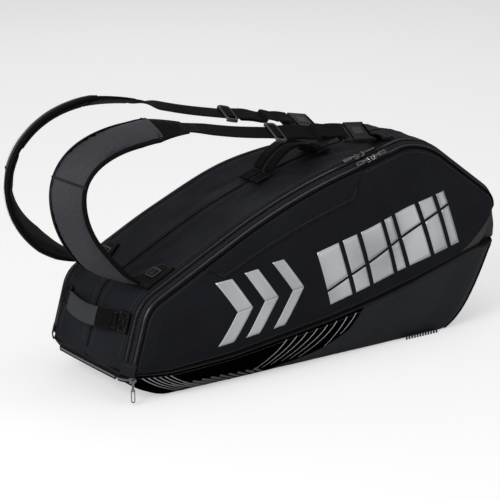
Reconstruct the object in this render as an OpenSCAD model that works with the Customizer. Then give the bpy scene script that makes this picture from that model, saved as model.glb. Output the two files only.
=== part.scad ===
// Racket tournament bag: two side compartments under long zips, a shoe pod
// below, two detachable backpack straps, a top carry handle and an end handle.
// Origin: centre of the footprint on the floor. +X to the racket-head end,
// +Z up, the near side is -Y.

/* [Body] */
// X of the handle end at the pod seam
tail_x = -375; // [-385:1:-365]
// X of the racket-head end
nose_x = 399; // [392:1:410]
// Height where the handle end turns into the sloping top
shoulder_z = 162; // [156:1:168]
// Height of the corner between the long slope and the crest
slope_z = 303; // [298:1:306]
// Height of the corner above the crest
crest_z = 348; // [346:1:356]
// Radius of the long curve that the rear zip sliders follow
zip_curve_r = 1150; // [1000:10:1200]
// How far the gusset crowns above its edges
crown = 3; // [1:1:8]
// How far each side panel bulges past its edges
bulge = 14; // [6:1:20]
// Half the floor width of the pod
floor_half_w = 112; // [105:1:116]

/* [Zips] */
// Width of the band between the main zip and the side panel
band_w = 18; // [16:1:22]
// How far that band steps in below the main zip
band_drop = 10; // [8:1:12]
// X where the pairs of zip sliders meet
slider_x = 102; // [98:1:106]
// Length of a slider's pull
pull_l = 30; // [24:1:34]

/* [Straps] */
// Width of a strap pad
pad_w = 66; // [56:1:72]
// Thickness of a strap pad
pad_t = 11; // [8:1:13]
// Width of the strap webbing
web_w = 34; // [28:1:36]
// Thickness of the webbing
web_t = 2.2; // [1.6:0.1:2.6]
// How far a pad's outer face rolls outwards, in degrees
pad_roll = 30; // [10:1:35]

/* [Handles] */
// Width of the handle webbing
handle_w = 30; // [25:1:32]

/* [Hidden] */

near = -1;
far = 1;
gap = 0.6;
shell_t = 3;
zip_half_w = 7;
seam_gap = 4;
black = [0.12, 0.12, 0.13];
charcoal = [0.22, 0.22, 0.24];
slate = [0.17, 0.18, 0.2];
steel = [0.6, 0.6, 0.62];

// ---- Plan and seam of the body, as functions of x ----
function main_half_w(x) = lookup(x, [[tail_x, 110], [-200, 112], [slider_x - 4, 90],
    [205, 68], [nose_x, 85]]);
function seam_half_w(x) = lookup(x, [[-366, 113], [-350, 124], [-300, 135], [-200, 141],
    [0, 141], [200, 131], [330, 123], [356, 112], [380, 90]]);
function seam_z(x) = lookup(x, [[-380, 52], [-310, 47], [-190, 54], [0, 77], [110, 93],
    [180, 107], [330, 143], [400, 146]]);

// ---- Side outline of the main zip: straight runs joined by arcs ----
// Each entry is [x, z, outward normal x, outward normal z].
function heading(a, b) = atan2(b[1] - a[1], b[0] - a[0]);
function left_normal(t) = [-sin(t), cos(t)];
function joined(p, n) = [p[0], p[1], n[0], n[1]];
function arc_centre(a, b, c, r) = let (h1 = heading(a, b), h2 = heading(b, c))
    b - left_normal((h1 + h2) / 2) * r / cos((h1 - h2) / 2);
function corner_arc(a, b, c, r, steps) = let (h1 = heading(a, b), h2 = heading(b, c),
    m = arc_centre(a, b, c, r))
    [for (k = [0:steps]) let (n = left_normal(h1 + (h2 - h1) * k / steps)) joined(m + n * r, n)];
function between(p, q, count) = [for (k = [1:count]) p + (q - p) * k / (count + 1)];

tail = [tail_x, seam_z(tail_x) + seam_gap];
shoulder = [-344, shoulder_z];
slope = [-63.7, slope_z];
crest = [240.4, crest_z];
nose = [nose_x, 226];
prow = [nose_x - 3, seam_z(nose_x) + seam_gap];

shoulder_arc = corner_arc(tail, shoulder, slope, 60, 4);
slope_arc = corner_arc(shoulder, slope, crest, zip_curve_r, 6);
crest_arc = corner_arc(slope, crest, nose, 130, 5);
nose_arc = corner_arc(crest, nose, prow, 45, 4);
tail_end = joined(tail, left_normal(heading(tail, shoulder)));
prow_end = joined(prow, left_normal(heading(nose, prow)));
outline = concat([tail_end], between(tail_end, shoulder_arc[0], 2), shoulder_arc,
    between(shoulder_arc[4], slope_arc[0], 1), slope_arc,
    between(slope_arc[6], crest_arc[0], 1), crest_arc,
    between(crest_arc[5], nose_arc[0], 2), nose_arc,
    between(nose_arc[4], prow_end, 1), [prow_end]);
last = len(outline) - 1;

// Below the nose the side panel's edge falls back towards the pod's corner.
nose_level = 205;
corner_setback = 30;
function setback(p) = p[0] > 300 && p[1] < nose_level
    ? corner_setback * (nose_level - p[1]) / (nose_level - prow[1]) : 0;

// A point of the band at s from 0 (main zip) to 1 (panel edge), sunk by depth.
function band_point(side, i, s, depth = 0) = let (p = outline[i],
    w = main_half_w(p[0]) + band_w * s - depth * 0.5,
    d = band_drop * s + depth)
    [p[0] - p[2] * d - setback(p) * s, side * w, p[1] - p[3] * d];

// A point of the gusset across its width, s from -1 to 1, sunk by depth.
function gusset_point(i, s, depth = 0, trim = zip_half_w) = let (p = outline[i],
    up = crown * (1 - s * s) - depth)
    [p[0] + p[2] * up, s * (main_half_w(p[0]) - trim), p[1] + p[3] * up];

// Distance along the outline, used to space the side panel's columns.
function run_to(i) = i == 0 ? 0
    : run_to(i - 1) + norm([outline[i][0] - outline[i - 1][0], outline[i][1] - outline[i - 1][1]]);
runs = [for (i = [0:last]) run_to(i)];
function share(i) = runs[i] / runs[last];
seam_from = -356;
seam_to = 350;
function seam_point(side, i) = let (x = seam_from + (seam_to - seam_from) * share(i))
    [x, side * seam_half_w(x), seam_z(x)];

// A point of the side panel, v from 0 at the seam to 1 at its edge, sunk by depth.
function panel_point(side, i, v, depth = 0) = let (a = seam_point(side, i),
    b = band_point(side, i, 1), l = norm(b - a),
    t = (seam_gap + v * (l - 2 * seam_gap)) / l,
    out = bulge * pow(sin(180 * t), 0.8) * sin(12 + 156 * share(i)) - depth)
    a + (b - a) * t + [0, side * out, 0];

// ---- Solids from point grids and rings ----
function flat(list) = [for (row = list) for (p = row) p];
// Closed solid from points and triangles, turned so that every face points outwards.
function six_volumes(points, faces) = [for (f = faces) points[f[0]] * cross(points[f[1]], points[f[2]])];
function total(list) = list * [for (k = [1:len(list)]) 1];
module solid(points, faces) {
    inside_out = total(six_volumes(points, faces)) > 0;
    polyhedron(points = points,
        faces = inside_out ? [for (f = faces) [f[0], f[2], f[1]]] : faces);
}
// Closed slab between two grids of the same size.
module slab(a, b) {
    rows = len(a);
    cols = len(a[0]);
    size = rows * cols;
    function at(r, c) = r * cols + c;
    faces = concat(
        [for (r = [0:rows - 2]) for (c = [0:cols - 2]) for (f = [
            [at(r, c), at(r + 1, c), at(r + 1, c + 1)], [at(r, c), at(r + 1, c + 1), at(r, c + 1)],
            [size + at(r, c), size + at(r + 1, c + 1), size + at(r + 1, c)],
            [size + at(r, c), size + at(r, c + 1), size + at(r + 1, c + 1)]]) f],
        [for (r = [0:rows - 2]) for (f = [
            [at(r, 0), size + at(r, 0), at(r + 1, 0)],
            [at(r + 1, 0), size + at(r, 0), size + at(r + 1, 0)],
            [at(r, cols - 1), at(r + 1, cols - 1), size + at(r, cols - 1)],
            [at(r + 1, cols - 1), size + at(r + 1, cols - 1), size + at(r, cols - 1)]]) f],
        [for (c = [0:cols - 2]) for (f = [
            [at(0, c), at(0, c + 1), size + at(0, c)],
            [at(0, c + 1), size + at(0, c + 1), size + at(0, c)],
            [at(rows - 1, c), size + at(rows - 1, c), at(rows - 1, c + 1)],
            [at(rows - 1, c + 1), size + at(rows - 1, c), size + at(rows - 1, c + 1)]]) f]);
    solid(concat(flat(a), flat(b)), faces);
}
// Solid through a list of rings, open ended or joined into a loop.
module sweep(rings, loop = false) {
    n = len(rings[0]);
    count = len(rings);
    function at(r, k) = (r % count) * n + (k % n);
    sides = [for (r = [0:count - (loop ? 1 : 2)]) for (k = [0:n - 1]) for (f = [
        [at(r, k), at(r, k + 1), at(r + 1, k + 1)], [at(r, k), at(r + 1, k + 1), at(r + 1, k)]]) f];
    caps = loop ? [] : concat([for (k = [1:n - 2]) [at(0, 0), at(0, k + 1), at(0, k)]],
        [for (k = [1:n - 2]) [at(count - 1, 0), at(count - 1, k), at(count - 1, k + 1)]]);
    solid(flat(rings), concat(sides, caps));
}
// Six-sided ring of radius r round p, in the plane of u and v.
function ring6(p, u, v, r) = [for (k = [0:5]) p + u * r * cos(60 * k) + v * r * sin(60 * k)];
// Flat ring of a strip: width along u, thickness along v, with eased edges.
function strip_ring(p, u, v, w, t) = [p - u * w / 2, p - u * (w / 2 - t / 2) + v * t / 2,
    p + u * (w / 2 - t / 2) + v * t / 2, p + u * w / 2,
    p + u * (w / 2 - t / 2) - v * t / 2, p - u * (w / 2 - t / 2) - v * t / 2];
function unit(a) = a / norm(a);

// ---- Gusset, zips and bands ----
across = [-1, -0.5, 0, 0.5, 1];
module gusset() {
    color(charcoal) slab([for (i = [0:last]) [for (s = across) gusset_point(i, s)]],
        [for (i = [0:last]) [for (s = across) gusset_point(i, s, shell_t)]]);
}
module gusset_welt() {
    color(black) slab([for (i = [1:last - 1]) [for (s = [-0.02, 0.02]) gusset_point(i, s, -1.6)]],
        [for (i = [1:last - 1]) [for (s = [-0.03, 0.03]) gusset_point(i, s, -gap)]]);
}
module main_zip(side) {
    inner = [for (i = [0:last]) gusset_point(i, side, 0.2, zip_half_w - gap)];
    low = [for (i = [0:last]) gusset_point(i, side, 1.8, zip_half_w - gap)];
    edge = [for (i = [0:last]) gusset_point(i, side, 0.2, gap)];
    edge_low = [for (i = [0:last]) gusset_point(i, side, 1.8, gap)];
    color(black) slab([for (i = [0:last]) side < 0 ? [edge[i], inner[i]] : [inner[i], edge[i]]],
        [for (i = [0:last]) side < 0 ? [edge_low[i], low[i]] : [low[i], edge_low[i]]]);
}
// Strip of the band between two shares of its width.
module band_strip(side, s0, s1, top, t) {
    upper = [for (i = [0:last]) [band_point(side, i, s0, top), band_point(side, i, s1, top)]];
    lower = [for (i = [0:last]) [band_point(side, i, s0, top + t), band_point(side, i, s1, top + t)]];
    slab([for (r = upper) side < 0 ? [r[1], r[0]] : r], [for (r = lower) side < 0 ? [r[1], r[0]] : r]);
}
module band(side) {
    color(charcoal) band_strip(side, 0.06, side < 0 ? 0.6 : 0.86, 0, 2.4);
}
module near_side_zip() {
    color(black) band_strip(near, 0.65, 0.84, 0.2, 1.6);
}
module piping(side) {
    radius = 1.8;
    color(black) sweep([for (i = [2:last - 2]) let (p = outline[i], c = band_point(side, i, 1, 0.5))
        ring6(c, [0, 1, 0], [p[2], 0, p[3]], radius)]);
}

// ---- Side panels ----
rise = [0, 0.2, 0.4, 0.6, 0.8, 1];
foam_rise = [0.2, 0.4, 0.6, 0.8];
panel_t = 2.5;
foam_t = 4;
module panel_slab(side, top, t, rows, first) {
    upper = [for (i = [first:last - first]) [for (v = rows) panel_point(side, i, v, top)]];
    lower = [for (i = [first:last - first]) [for (v = rows) panel_point(side, i, v, top + t)]];
    if (side < 0) slab(upper, lower);
    else slab(lower, upper);
}
module side_panel(side) { color(charcoal) panel_slab(side, 0, panel_t, rise, 0); }
module foam(side) { color(slate) panel_slab(side, panel_t + gap, foam_t, foam_rise, 2); }
// Strip under the near side's zip, from s = 0 to 1 over the panel's top row.
module near_zip_cover() {
    function over(i, s, up) = mix(panel_point(near, i, 0.8, -up), panel_point(near, i, 1, -up), s);
    stations = [8:last - 6];
    color(charcoal) slab([for (i = stations) [over(i, 0.5, 2.2), over(i, 0.95, 2.2)]],
        [for (i = stations) [over(i, 0.5, gap), over(i, 0.95, gap)]]);
}

// ---- Inner walls ----
wall_x0 = -325;
wall_x1 = 330;
function roof_z(x) = lookup(x, [for (p = outline) if (p[3] > 0.3) [p[0], p[1]]]);
module wall(y, t, drop) {
    stations = [for (k = [0:10]) wall_x0 + (wall_x1 - wall_x0) * k / 10];
    function col(yy) = [for (x = stations) [[x, yy, seam_z(x) + 9], [x, yy, roof_z(x) - drop]]];
    slab(col(y - t / 2), col(y + t / 2));
}
module centre_divider() { color(slate) wall(0, 3, 10); }
module near_divider() {
    t = 4;
    stations = [for (k = [0:10]) wall_x0 + (wall_x1 - wall_x0) * k / 10];
    function level(x, v) = seam_z(x) + 9 + v * (roof_z(x) - 34 - seam_z(x));
    function edge_y(x, v) = -(seam_half_w(x) - 22) * (1 - v) - (main_half_w(x) - 5) * v;
    color(slate) slab([for (x = stations) [for (v = [0, 1]) [x, edge_y(x, v), level(x, v)]]],
        [for (x = stations) [for (v = [0, 1]) [x, edge_y(x, v) + t, level(x, v)]]]);
}
module compartment_floor() {
    stations = [for (k = [0:10]) -360 + 700 * k / 10];
    function row(x, up) = [for (s = [-1, 1]) [x, s * (seam_half_w(x) - 20), seam_z(x) + up]];
    color(slate) slab([for (x = stations) row(x, 5)], [for (x = stations) row(x, 1)]);
}

// ---- Shoe pod ----
// Plan outlines of the near half, from the tail's middle round to the nose's middle.
function plan_half(tail_c, sides, nose_c, tail_r, nose_r) = let (n = len(sides) - 1,
    flat_tail = [tail_c[0], 0], flat_nose = [nose_c[0], 0])
    concat([flat_tail],
        [for (p = corner_arc(flat_tail, tail_c, sides[0], -tail_r, 4)) [p[0], p[1]]],
        sides,
        [for (p = corner_arc(sides[n], nose_c, flat_nose, -nose_r, 4)) [p[0], p[1]]],
        [flat_nose]);
function with_far(half) = concat(half, [for (k = [len(half) - 2:-1:1]) [half[k][0], -half[k][1]]]);
pod_tail = -374;
pod_nose = 386;
corner_r = 26;
floor_tail = -312;
floor_nose = 290;
side_x = [-290, -200, -100, 0, 100, 200, 290];
seam_plan = with_far(plan_half([pod_tail, -119], [for (x = side_x) [x, -seam_half_w(x)]],
    [pod_nose, -121], corner_r, 34));
floor_plan = with_far(plan_half([floor_tail, -floor_half_w + 2],
    [for (x = side_x) [x * 0.8, -floor_half_w]], [floor_nose, -floor_half_w + 2], 20, 26));
around = len(seam_plan);
// A point of the pod: j counts round the plan, t runs from 0 at the seam to 1 at the
// floor, and inset moves it inwards. The ends curve under; the sides taper.
function pod_point(j, t, inset = 0) = let (a = seam_plan[j % around], b = floor_plan[j % around],
    x = a[0] + (b[0] - a[0]) * (a[0] > 0 ? 0.8 * t + 0.2 * pow(t, 8) : pow(t, 1.4)),
    y = a[1] + (b[1] - a[1]) * pow(t, 1.6),
    in_x = abs(a[0]) < 350 ? 0 : (abs(a[1]) < 100 ? 1 : 0.7))
    [x - sign(x) * inset * in_x, y - sign(y) * inset * (abs(a[1]) < 100 ? 0 : (in_x > 0 ? 0.7 : 1)),
        (seam_z(a[0]) - 3) * (1 - t)];
levels = [0, 0.3, 0.55, 0.75, 0.9, 1];
function pod_column(j, inset) = [for (t = levels) pod_point(j, t, inset)];
function mix(a, b, t) = [for (k = [0:len(a) - 1]) a[k] + (b[k] - a[k]) * t];
module pod_wall() {
    color(slate) slab([for (j = [1:around - 1]) pod_column(j, shell_t)],
        [for (j = [1:around - 1]) pod_column(j, 0)]);
}
door_gap = 0.012;
module pod_door() {
    function columns(inset) = [mix(pod_column(around - 1, inset), pod_column(0, inset), door_gap),
        pod_column(0, inset), mix(pod_column(1, inset), pod_column(0, inset), door_gap)];
    color(slate) slab(columns(shell_t), columns(0));
}
module pod_zip() {
    x = pod_tail - 2;
    z = seam_z(pod_tail) - 10;
    color(black) translate([x - 0.4, -88, z]) cube([1.6, 176, 6]);
}
module seam_welt() {
    color(black) sweep([for (j = [0:around - 1]) let (p = pod_point(j, 0),
        out = unit([abs(p[0]) < 350 ? 0 : sign(p[0]) * (abs(p[1]) < 100 ? 1 : 0.7),
            abs(p[1]) < 100 && abs(p[0]) > 350 ? 0 : sign(p[1]) * 0.7, 0]))
        ring6(p + [0, 0, 2.7] - out * 0.5, out, [0, 0, 1], 2)], loop = true);
}
base_inset = 8;
base_r = 24;
base_t = 4;
module base_panel() {
    w = floor_half_w - base_inset;
    x0 = floor_tail + base_inset;
    l = floor_nose - floor_tail - 2 * base_inset;
    color(black) {
        translate([x0, base_r - w, 0]) cube([l, 2 * (w - base_r), base_t]);
        translate([x0 + base_r, -w, 0]) cube([l - 2 * base_r, 2 * w, base_t]);
        for (x = [x0 + base_r, x0 + l - base_r]) for (y = [base_r - w, w - base_r])
            translate([x, y, 0]) cylinder(h = base_t, r = base_r, $fn = 48);
    }
}
rib_count = 12;
module bumper_ribs() {
    color(black) for (side = [near, far]) for (k = [0:rib_count - 1])
        translate([floor_nose - 102 + 6 * k, side * (floor_half_w + 4.8), 0])
            cylinder(h = 6, r = 1.6, $fn = 24);
}

// ---- Zip sliders and pulls ----
slider_l = 11;
slider_w = 9;
slider_h = 3;
pin_r = 0.8;
pin_z = 5;
pull_gap = 0.06;
// Slider in its own frame: X along the zip, Z out of the fabric.
module slider_body(turn = 0) {
    rotate([0, 0, turn]) difference() {
        translate([-slider_l / 2, -slider_w / 2, 0]) cube([slider_l, slider_w, slider_h]);
        for (s = [-1, 1]) translate([slider_l / 2, s * slider_w / 2, -1])
            cylinder(h = slider_h + 2, r = 2.4, $fn = 24);
    }
    for (s = [-1, 1]) translate([-2, s * 3.2 - 0.6, slider_h - 0.2]) cube([4, 1.2, pin_z - slider_h + 1.6]);
    translate([0, 3.4, pin_z]) rotate([90, 0, 0]) cylinder(h = 6.8, r = pin_r, $fn = 24);
}
// Pull in the slider's frame, lying along +X from its eye round the pin.
module pull_body(l = pull_l) {
    eye_r = 1.7;
    translate([0, 0, pin_z]) rotate([90, 0, 0]) difference() {
        union() {
            translate([0, 0, -2]) cylinder(h = 4, r = eye_r, $fn = 24);
            translate([0, -0.8, -2]) cube([l * 0.4, 1.6, 4]);
        }
        translate([0, 0, -3]) cylinder(h = 6, r = pin_r + pull_gap, $fn = 24);
    }
    translate([l * 0.36, 0, pin_z - 0.9]) difference() {
        hull() for (x = [3, l * 0.64 - 3.4]) translate([x, 0, 0]) cylinder(h = 1.8, r = 3.4, $fn = 32);
        translate([0, 0, -1]) hull() for (x = [6, l * 0.64 - 3.4]) translate([x, 0, 0])
            cylinder(h = 4, r = 1.7, $fn = 32);
    }
}
// Where the outline passes x: [x, z, normal x, normal z].
function on_outline(x, i = 0) = i >= last - 1 || outline[i + 1][0] > x
    ? let (a = outline[i], b = outline[i + 1], t = (x - a[0]) / (b[0] - a[0])) a + (b - a) * t
    : on_outline(x, i + 1);
// Puts its children on a zip at x, s across the band, with local X towards +X.
slider_lift = 1.4;
module on_zip(side, x, s, forward) {
    p = on_outline(x);
    y = side * (main_half_w(x) + band_w * s + (s > 0 ? 0.5 : 0));
    tilt = atan2(p[2], p[3]);
    yaw = side * atan2(main_half_w(x + 10) - main_half_w(x), 10);
    d = band_drop * s - slider_lift;
    roll = s > 0 ? -side * atan2(band_drop, band_w) : 0;
    translate([p[0] - p[2] * d, y, p[1] - p[3] * d]) rotate([0, 0, yaw]) rotate([0, tilt, 0])
        rotate([0, 0, forward ? 0 : 180]) rotate([forward ? roll : -roll, 0, 0]) children();
}
main_s = 0;
side_s = 0.74;
slider_half_gap = 7;
side_slider_x = slider_x + 14;
module rear_slider(side, x, s) {
    color(steel) on_zip(side, x - slider_half_gap, s, false) slider_body();
}
module rear_pull(side, x, s) {
    color(steel) on_zip(side, x - slider_half_gap, s, false) pull_body();
}
module front_slider(side, x, s) {
    color(steel) on_zip(side, x + slider_half_gap, s, true) slider_body();
}
module front_pull(side, x, s) {
    color(steel) on_zip(side, x + slider_half_gap, s, true) pull_body();
}
// The pod's slider is parked on the near corner of the tail, with its pull hanging.
corner_face = 60;
pod_corner = [pod_tail + corner_r, -119 + corner_r];
module at_pod_slider() {
    translate([pod_corner[0], pod_corner[1], seam_z(pod_tail) - 11]) rotate([0, 0, corner_face])
        translate([-corner_r - 2.8, 0, 0]) rotate([0, -90, 0]) rotate([0, 0, 180]) children();
}
module pod_slider() { color(steel) at_pod_slider() slider_body(90); }
module pod_pull() { color(steel) at_pod_slider() pull_body(36); }

// ---- Straps ----
// Side profile of a strap, [x, z]: the pad arches from its anchor out past the tail and
// over to its tip; webbing runs straight on to the tri-glide and the buckle.
anchor = [-322, 186];
function reach(side) = side < 0 ? [-450, 338] : [-462, 326];
function tip(side) = side < 0 ? [-214, 414] : [-243, 440];
function glide(side) = side < 0 ? [-26, 378] : [-62, 398];
function lock(side) = side < 0 ? [100, 366] : [52, 376];
function strap_y(side, x) = side * (side < 0
    ? lookup(x, [[-460, 84], [-330, 82], [-214, 56], [-26, 46], [150, 54]])
    : lookup(x, [[-460, 84], [-330, 82], [-243, 56], [-62, 38], [150, 40]]));
function bezier(a, b, c, d, t) = a * pow(1 - t, 3) + 3 * b * t * pow(1 - t, 2)
    + 3 * c * t * t * (1 - t) + d * pow(t, 3);
function pad_curve(side, t) = t < 1
    ? bezier(anchor, anchor + [-72, 18], reach(side) - [0, 66], reach(side), t)
    : bezier(reach(side), reach(side) + [0, 74], tip(side) + [-136, 26], tip(side), t - 1);
// The pad rolls outwards, flat only where it is sewn to the bag.
function roll(t) = pad_roll * min(1, t * 2.2) * (1 - 0.35 * max(0, t - 1));
function pad_frame(side, t) = let (p = pad_curve(side, t), q = pad_curve(side, t + 0.01),
    d = unit(q - p), up = [-d[1], 0, d[0]], y = [0, 1, 0], r = side * roll(t))
    [[p[0], strap_y(side, p[0]), p[1]], y * cos(r) - up * sin(r), up * cos(r) + y * sin(r)];
tip_from = 1.8;
function pad_ring(side, t, w, h) = let (f = pad_frame(side, t)) strip_ring(f[0], f[1], f[2], w, h);
module strap_pad(side) {
    steps = 20;
    color(charcoal) sweep([for (k = [0:steps]) let (t = 0.05 + (tip_from - 0.07) * k / steps,
        ease = min(1, t * 3.2)) pad_ring(side, t, pad_w * (0.62 + 0.38 * ease), pad_t * (0.55 + 0.45 * ease))]);
}
module strap_tip(side) {
    color(black) sweep([for (k = [0:4]) let (t = tip_from + (1.98 - tip_from) * k / 4)
        pad_ring(side, t, pad_w * (1 - 0.42 * k / 4), pad_t * (1 - 0.6 * k / 4))]);
}
// Both straps lie with their upper faces tipped towards the near side. The webbing takes
// up that roll between the pad's tip and twist_end, and is straight from there on.
function web_roll(side) = side < 0 ? 28 : 20;
twist_end = 0.24;
function tipped(d, y, r) = let (n = cross(d, y)) [d, y * cos(r) + n * sin(r), n * cos(r) - y * sin(r)];
function run_frame(side, a, b, share = 1) = let (d = unit([b[0] - a[0],
    strap_y(side, b[0]) - strap_y(side, a[0]), b[1] - a[1]]), y = unit([-d[1], d[0], 0]),
    from_tip = -side * roll(1.98)) tipped(d, y, from_tip + (web_roll(side) - from_tip) * share);
function at_run(side, a, b, t) = let (p = a + (b - a) * t)
    [p[0], strap_y(side, a[0]) + (strap_y(side, b[0]) - strap_y(side, a[0])) * t, p[1]];
module strap_webbing(side) {
    a = tip(side);
    b = glide(side);
    color(black) sweep([for (t = [0.02, 0.09, 0.17, twist_end, 0.98])
        let (f = run_frame(side, a, b, min(1, t / twist_end)))
        strip_ring(at_run(side, a, b, t), f[1], f[2], web_w - 4, web_t)]);
}
// Frame that the webbing passes through: a window plate above and a bar below.
glide_len = 24;
module tri_glide(side) {
    a = tip(side);
    b = glide(side);
    f = run_frame(side, a, b);
    o = at_run(side, a, b, 0.93);
    w = web_w + 12;
    m = [[f[0][0], f[1][0], f[2][0], o[0]], [f[0][1], f[1][1], f[2][1], o[1]],
        [f[0][2], f[1][2], f[2][2], o[2]], [0, 0, 0, 1]];
    rise = web_t / 2 + 0.8;
    color(steel) multmatrix(m) {
        for (s = [-1, 1]) translate([-glide_len / 2, s * w / 2 - (s > 0 ? 4 : 0), -rise - 2.4])
            cube([glide_len, 4, 2 * rise + 4.8]);
        for (x = [-glide_len / 2, glide_len / 2 - 4]) translate([x, -w / 2, rise]) cube([4, w, 2.4]);
        translate([-2, -w / 2, -rise - 2.4]) cube([4, w, 2.4]);
    }
}
module strap_tail(side) {
    a = glide(side);
    b = lock(side);
    f = run_frame(side, a, b);
    lift = f[2] * 2.6;
    color(black) sweep([for (t = [0.03, 0.97]) strip_ring(at_run(side, a, b, t) + lift, f[1], f[2], web_w, web_t)]);
}

// ---- Side-release buckles ----
// Buckle frame: origin at the ladder bar, X towards the female half.
buckle_w = 44;
buckle_t = 11;
prong_l = 26;
male_l = 20;
module at_buckle(side) {
    f = run_frame(side, glide(side), lock(side));
    o = at_run(side, glide(side), lock(side), 0.98);
    multmatrix([[f[0][0], f[1][0], f[2][0], o[0]], [f[0][1], f[1][1], f[2][1], o[1]],
        [f[0][2], f[1][2], f[2][2], o[2]], [0, 0, 0, 1]]) translate([0, 0, -4.6]) children();
}
module male_shape() {
    difference() {
        translate([-10, -buckle_w / 2, -3]) cube([male_l, buckle_w, 6]);
        for (x = [-7, 0]) translate([x, -buckle_w / 2 + 5, -5]) cube([4.6, buckle_w - 10, 12]);
    }
    for (s = [-1, 1]) translate([male_l - 10.5, s * 13 - 2.5, -2]) cube([prong_l, 5, 4]);
    translate([male_l - 10.5, -2, -1.6]) cube([prong_l - 5, 4, 3.2]);
}
module female_shape() {
    reach_in = prong_l + 3;
    difference() {
        translate([male_l - 9.4, -buckle_w / 2, -buckle_t / 2]) cube([reach_in + 10, buckle_w, buckle_t]);
        translate([male_l - 12, -buckle_w / 2 + 4, -3]) cube([reach_in, buckle_w - 8, 6]);
        translate([male_l + 24, -buckle_w / 2 + 6, -3]) cube([5.5, buckle_w - 12, 12]);
    }
}
module buckle_male(side) { color(black) at_buckle(side) male_shape(); }
module buckle_female(side) { color(black) at_buckle(side) female_shape(); }
// Short webbing that ties the female half down to the gusset's edge.
module buckle_stub(side) {
    f = run_frame(side, glide(side), lock(side));
    o = at_run(side, glide(side), lock(side), 0.98);
    start = o + f[0] * (male_l + prong_l + 6) - f[2] * 4.6;
    land_x = start[0] + 26;
    p = on_outline(land_x);
    land = [land_x, side * min(abs(start[1]), main_half_w(land_x) - 26), p[1] + crown + 2.6];
    mid = mix(start, land, 0.5) + [0, 0, 2];
    flat_u = [0, 1, 0];
    flat_n = [0.1, 0, 1];
    color(black) sweep([for (q = [[start, f[1], f[2]], [mid, unit(f[1] + flat_u), unit(f[2] + flat_n)],
        [land, flat_u, flat_n]]) strip_ring(q[0], q[1], q[2], web_w, web_t)]);
}
module anchor_wing(side) {
    inner = 40;
    outer = 98;
    function skin(x, y, up) = let (p = on_outline(x), s = y / (main_half_w(x) - zip_half_w),
        h = crown * (1 - s * s) + up) [p[0] + p[2] * h, side * y, p[1] + p[3] * h];
    function row(x, lo, up) = [for (y = [lo, outer]) skin(x, y, up)];
    stations = [for (k = [0:3]) [-316 + 15 * k, inner + 9 * k]];
    top = [for (q = stations) row(q[0], q[1], 2.8)];
    low = [for (q = stations) row(q[0], q[1], 1)];
    color(black) if (side < 0) slab([for (r = top) [r[1], r[0]]], [for (r = low) [r[1], r[0]]]);
    else slab(top, low);
}

// ---- Handles ----
carry_x0 = -44;
carry_x1 = 76;
carry_rise = 30;
strap_split = 15;
module top_handle() {
    steps = 12;
    function carry(t) = let (x = carry_x0 + 14 + (carry_x1 - carry_x0 - 28) * t, p = on_outline(x))
        [x, 0, p[1] + crown + 6 + carry_rise * pow(sin(180 * t), 0.7)];
    color(black) for (s = [-1, 1]) sweep([for (k = [0:steps]) let (t = k / steps, c = carry(t),
        d = unit(carry(min(1, t + 0.02)) - carry(max(0, t - 0.02))))
        strip_ring(c + [0, s * strap_split, 0], [0, 1, 0], [-d[2], 0, d[0]], handle_w * 0.72, web_t)]);
}
module top_handle_patches() {
    color(black) for (x = [carry_x0, carry_x1]) for (s = [-1, 1]) let (a = on_outline(x - 12),
        b = on_outline(x + 12)) sweep([for (p = [a, b]) strip_ring([p[0], s * strap_split, p[1]] +
            [p[2], 0, p[3]] * (crown + 1.5), [0, 1, 0], [p[2], 0, p[3]], handle_w * 0.8, 2)]);
}
grab_z = 128;
grab_half = 74;
function tail_face_x(z) = tail_x + (z - tail[1]) * (shoulder[0] - tail[0]) / (shoulder[1] - tail[1]);
module end_handle() {
    steps = 12;
    color(black) sweep([for (k = [0:steps]) let (t = k / steps, y = grab_half * (2 * t - 1),
        out = 6 + 16 * pow(sin(180 * t), 0.6))
        strip_ring([tail_face_x(grab_z) - crown - out, y, grab_z], [0.28, 0, 0.96], [-0.96, 0, 0.28],
            handle_w, web_t)]);
}
module end_handle_patches() {
    color(black) for (s = [-1, 1]) let (y0 = s * (grab_half + 3), y1 = s * (main_half_w(tail_x) - 9))
        sweep([for (y = (s < 0 ? [y1, y0] : [y0, y1])) strip_ring([tail_face_x(grab_z) - crown - 2, y, grab_z],
            [0.28, 0, 0.96], [-0.96, 0, 0.28], handle_w + 4, 2)]);
}

gusset();
gusset_welt();
main_zip(near);  // near_main_zip
main_zip(far);  // far_main_zip
centre_divider();
compartment_floor();
pod_wall();
seam_welt();
base_panel();
bumper_ribs();
band(near);  // near_band
near_side_zip();
near_divider();
side_panel(near);  // near_side_panel
piping(near);  // near_piping
foam(near);  // near_foam
near_zip_cover();
band(far);  // far_band
side_panel(far);  // far_side_panel
piping(far);  // far_piping
foam(far);  // far_foam
pod_door();
pod_zip();
pod_slider();
pod_pull();
top_handle_patches();
end_handle_patches();
anchor_wing(near);  // near_anchor_wing
anchor_wing(far);  // far_anchor_wing
buckle_female(near);  // near_buckle_female
buckle_female(far);  // far_buckle_female
buckle_stub(near);  // near_buckle_stub
buckle_stub(far);  // far_buckle_stub
rear_slider(near, slider_x, main_s);  // near_main_slider_rear
rear_pull(near, slider_x, main_s);  // near_main_pull_rear
front_slider(near, slider_x, main_s);  // near_main_slider_front
front_pull(near, slider_x, main_s);  // near_main_pull_front
rear_slider(near, side_slider_x, side_s);  // near_side_slider_rear
rear_pull(near, side_slider_x, side_s);  // near_side_pull_rear
front_slider(near, side_slider_x, side_s);  // near_side_slider_front
front_pull(near, side_slider_x, side_s);  // near_side_pull_front
rear_slider(far, slider_x, main_s);  // far_main_slider_rear
rear_pull(far, slider_x, main_s);  // far_main_pull_rear
front_slider(far, slider_x, main_s);  // far_main_slider_front
front_pull(far, slider_x, main_s);  // far_main_pull_front
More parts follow.
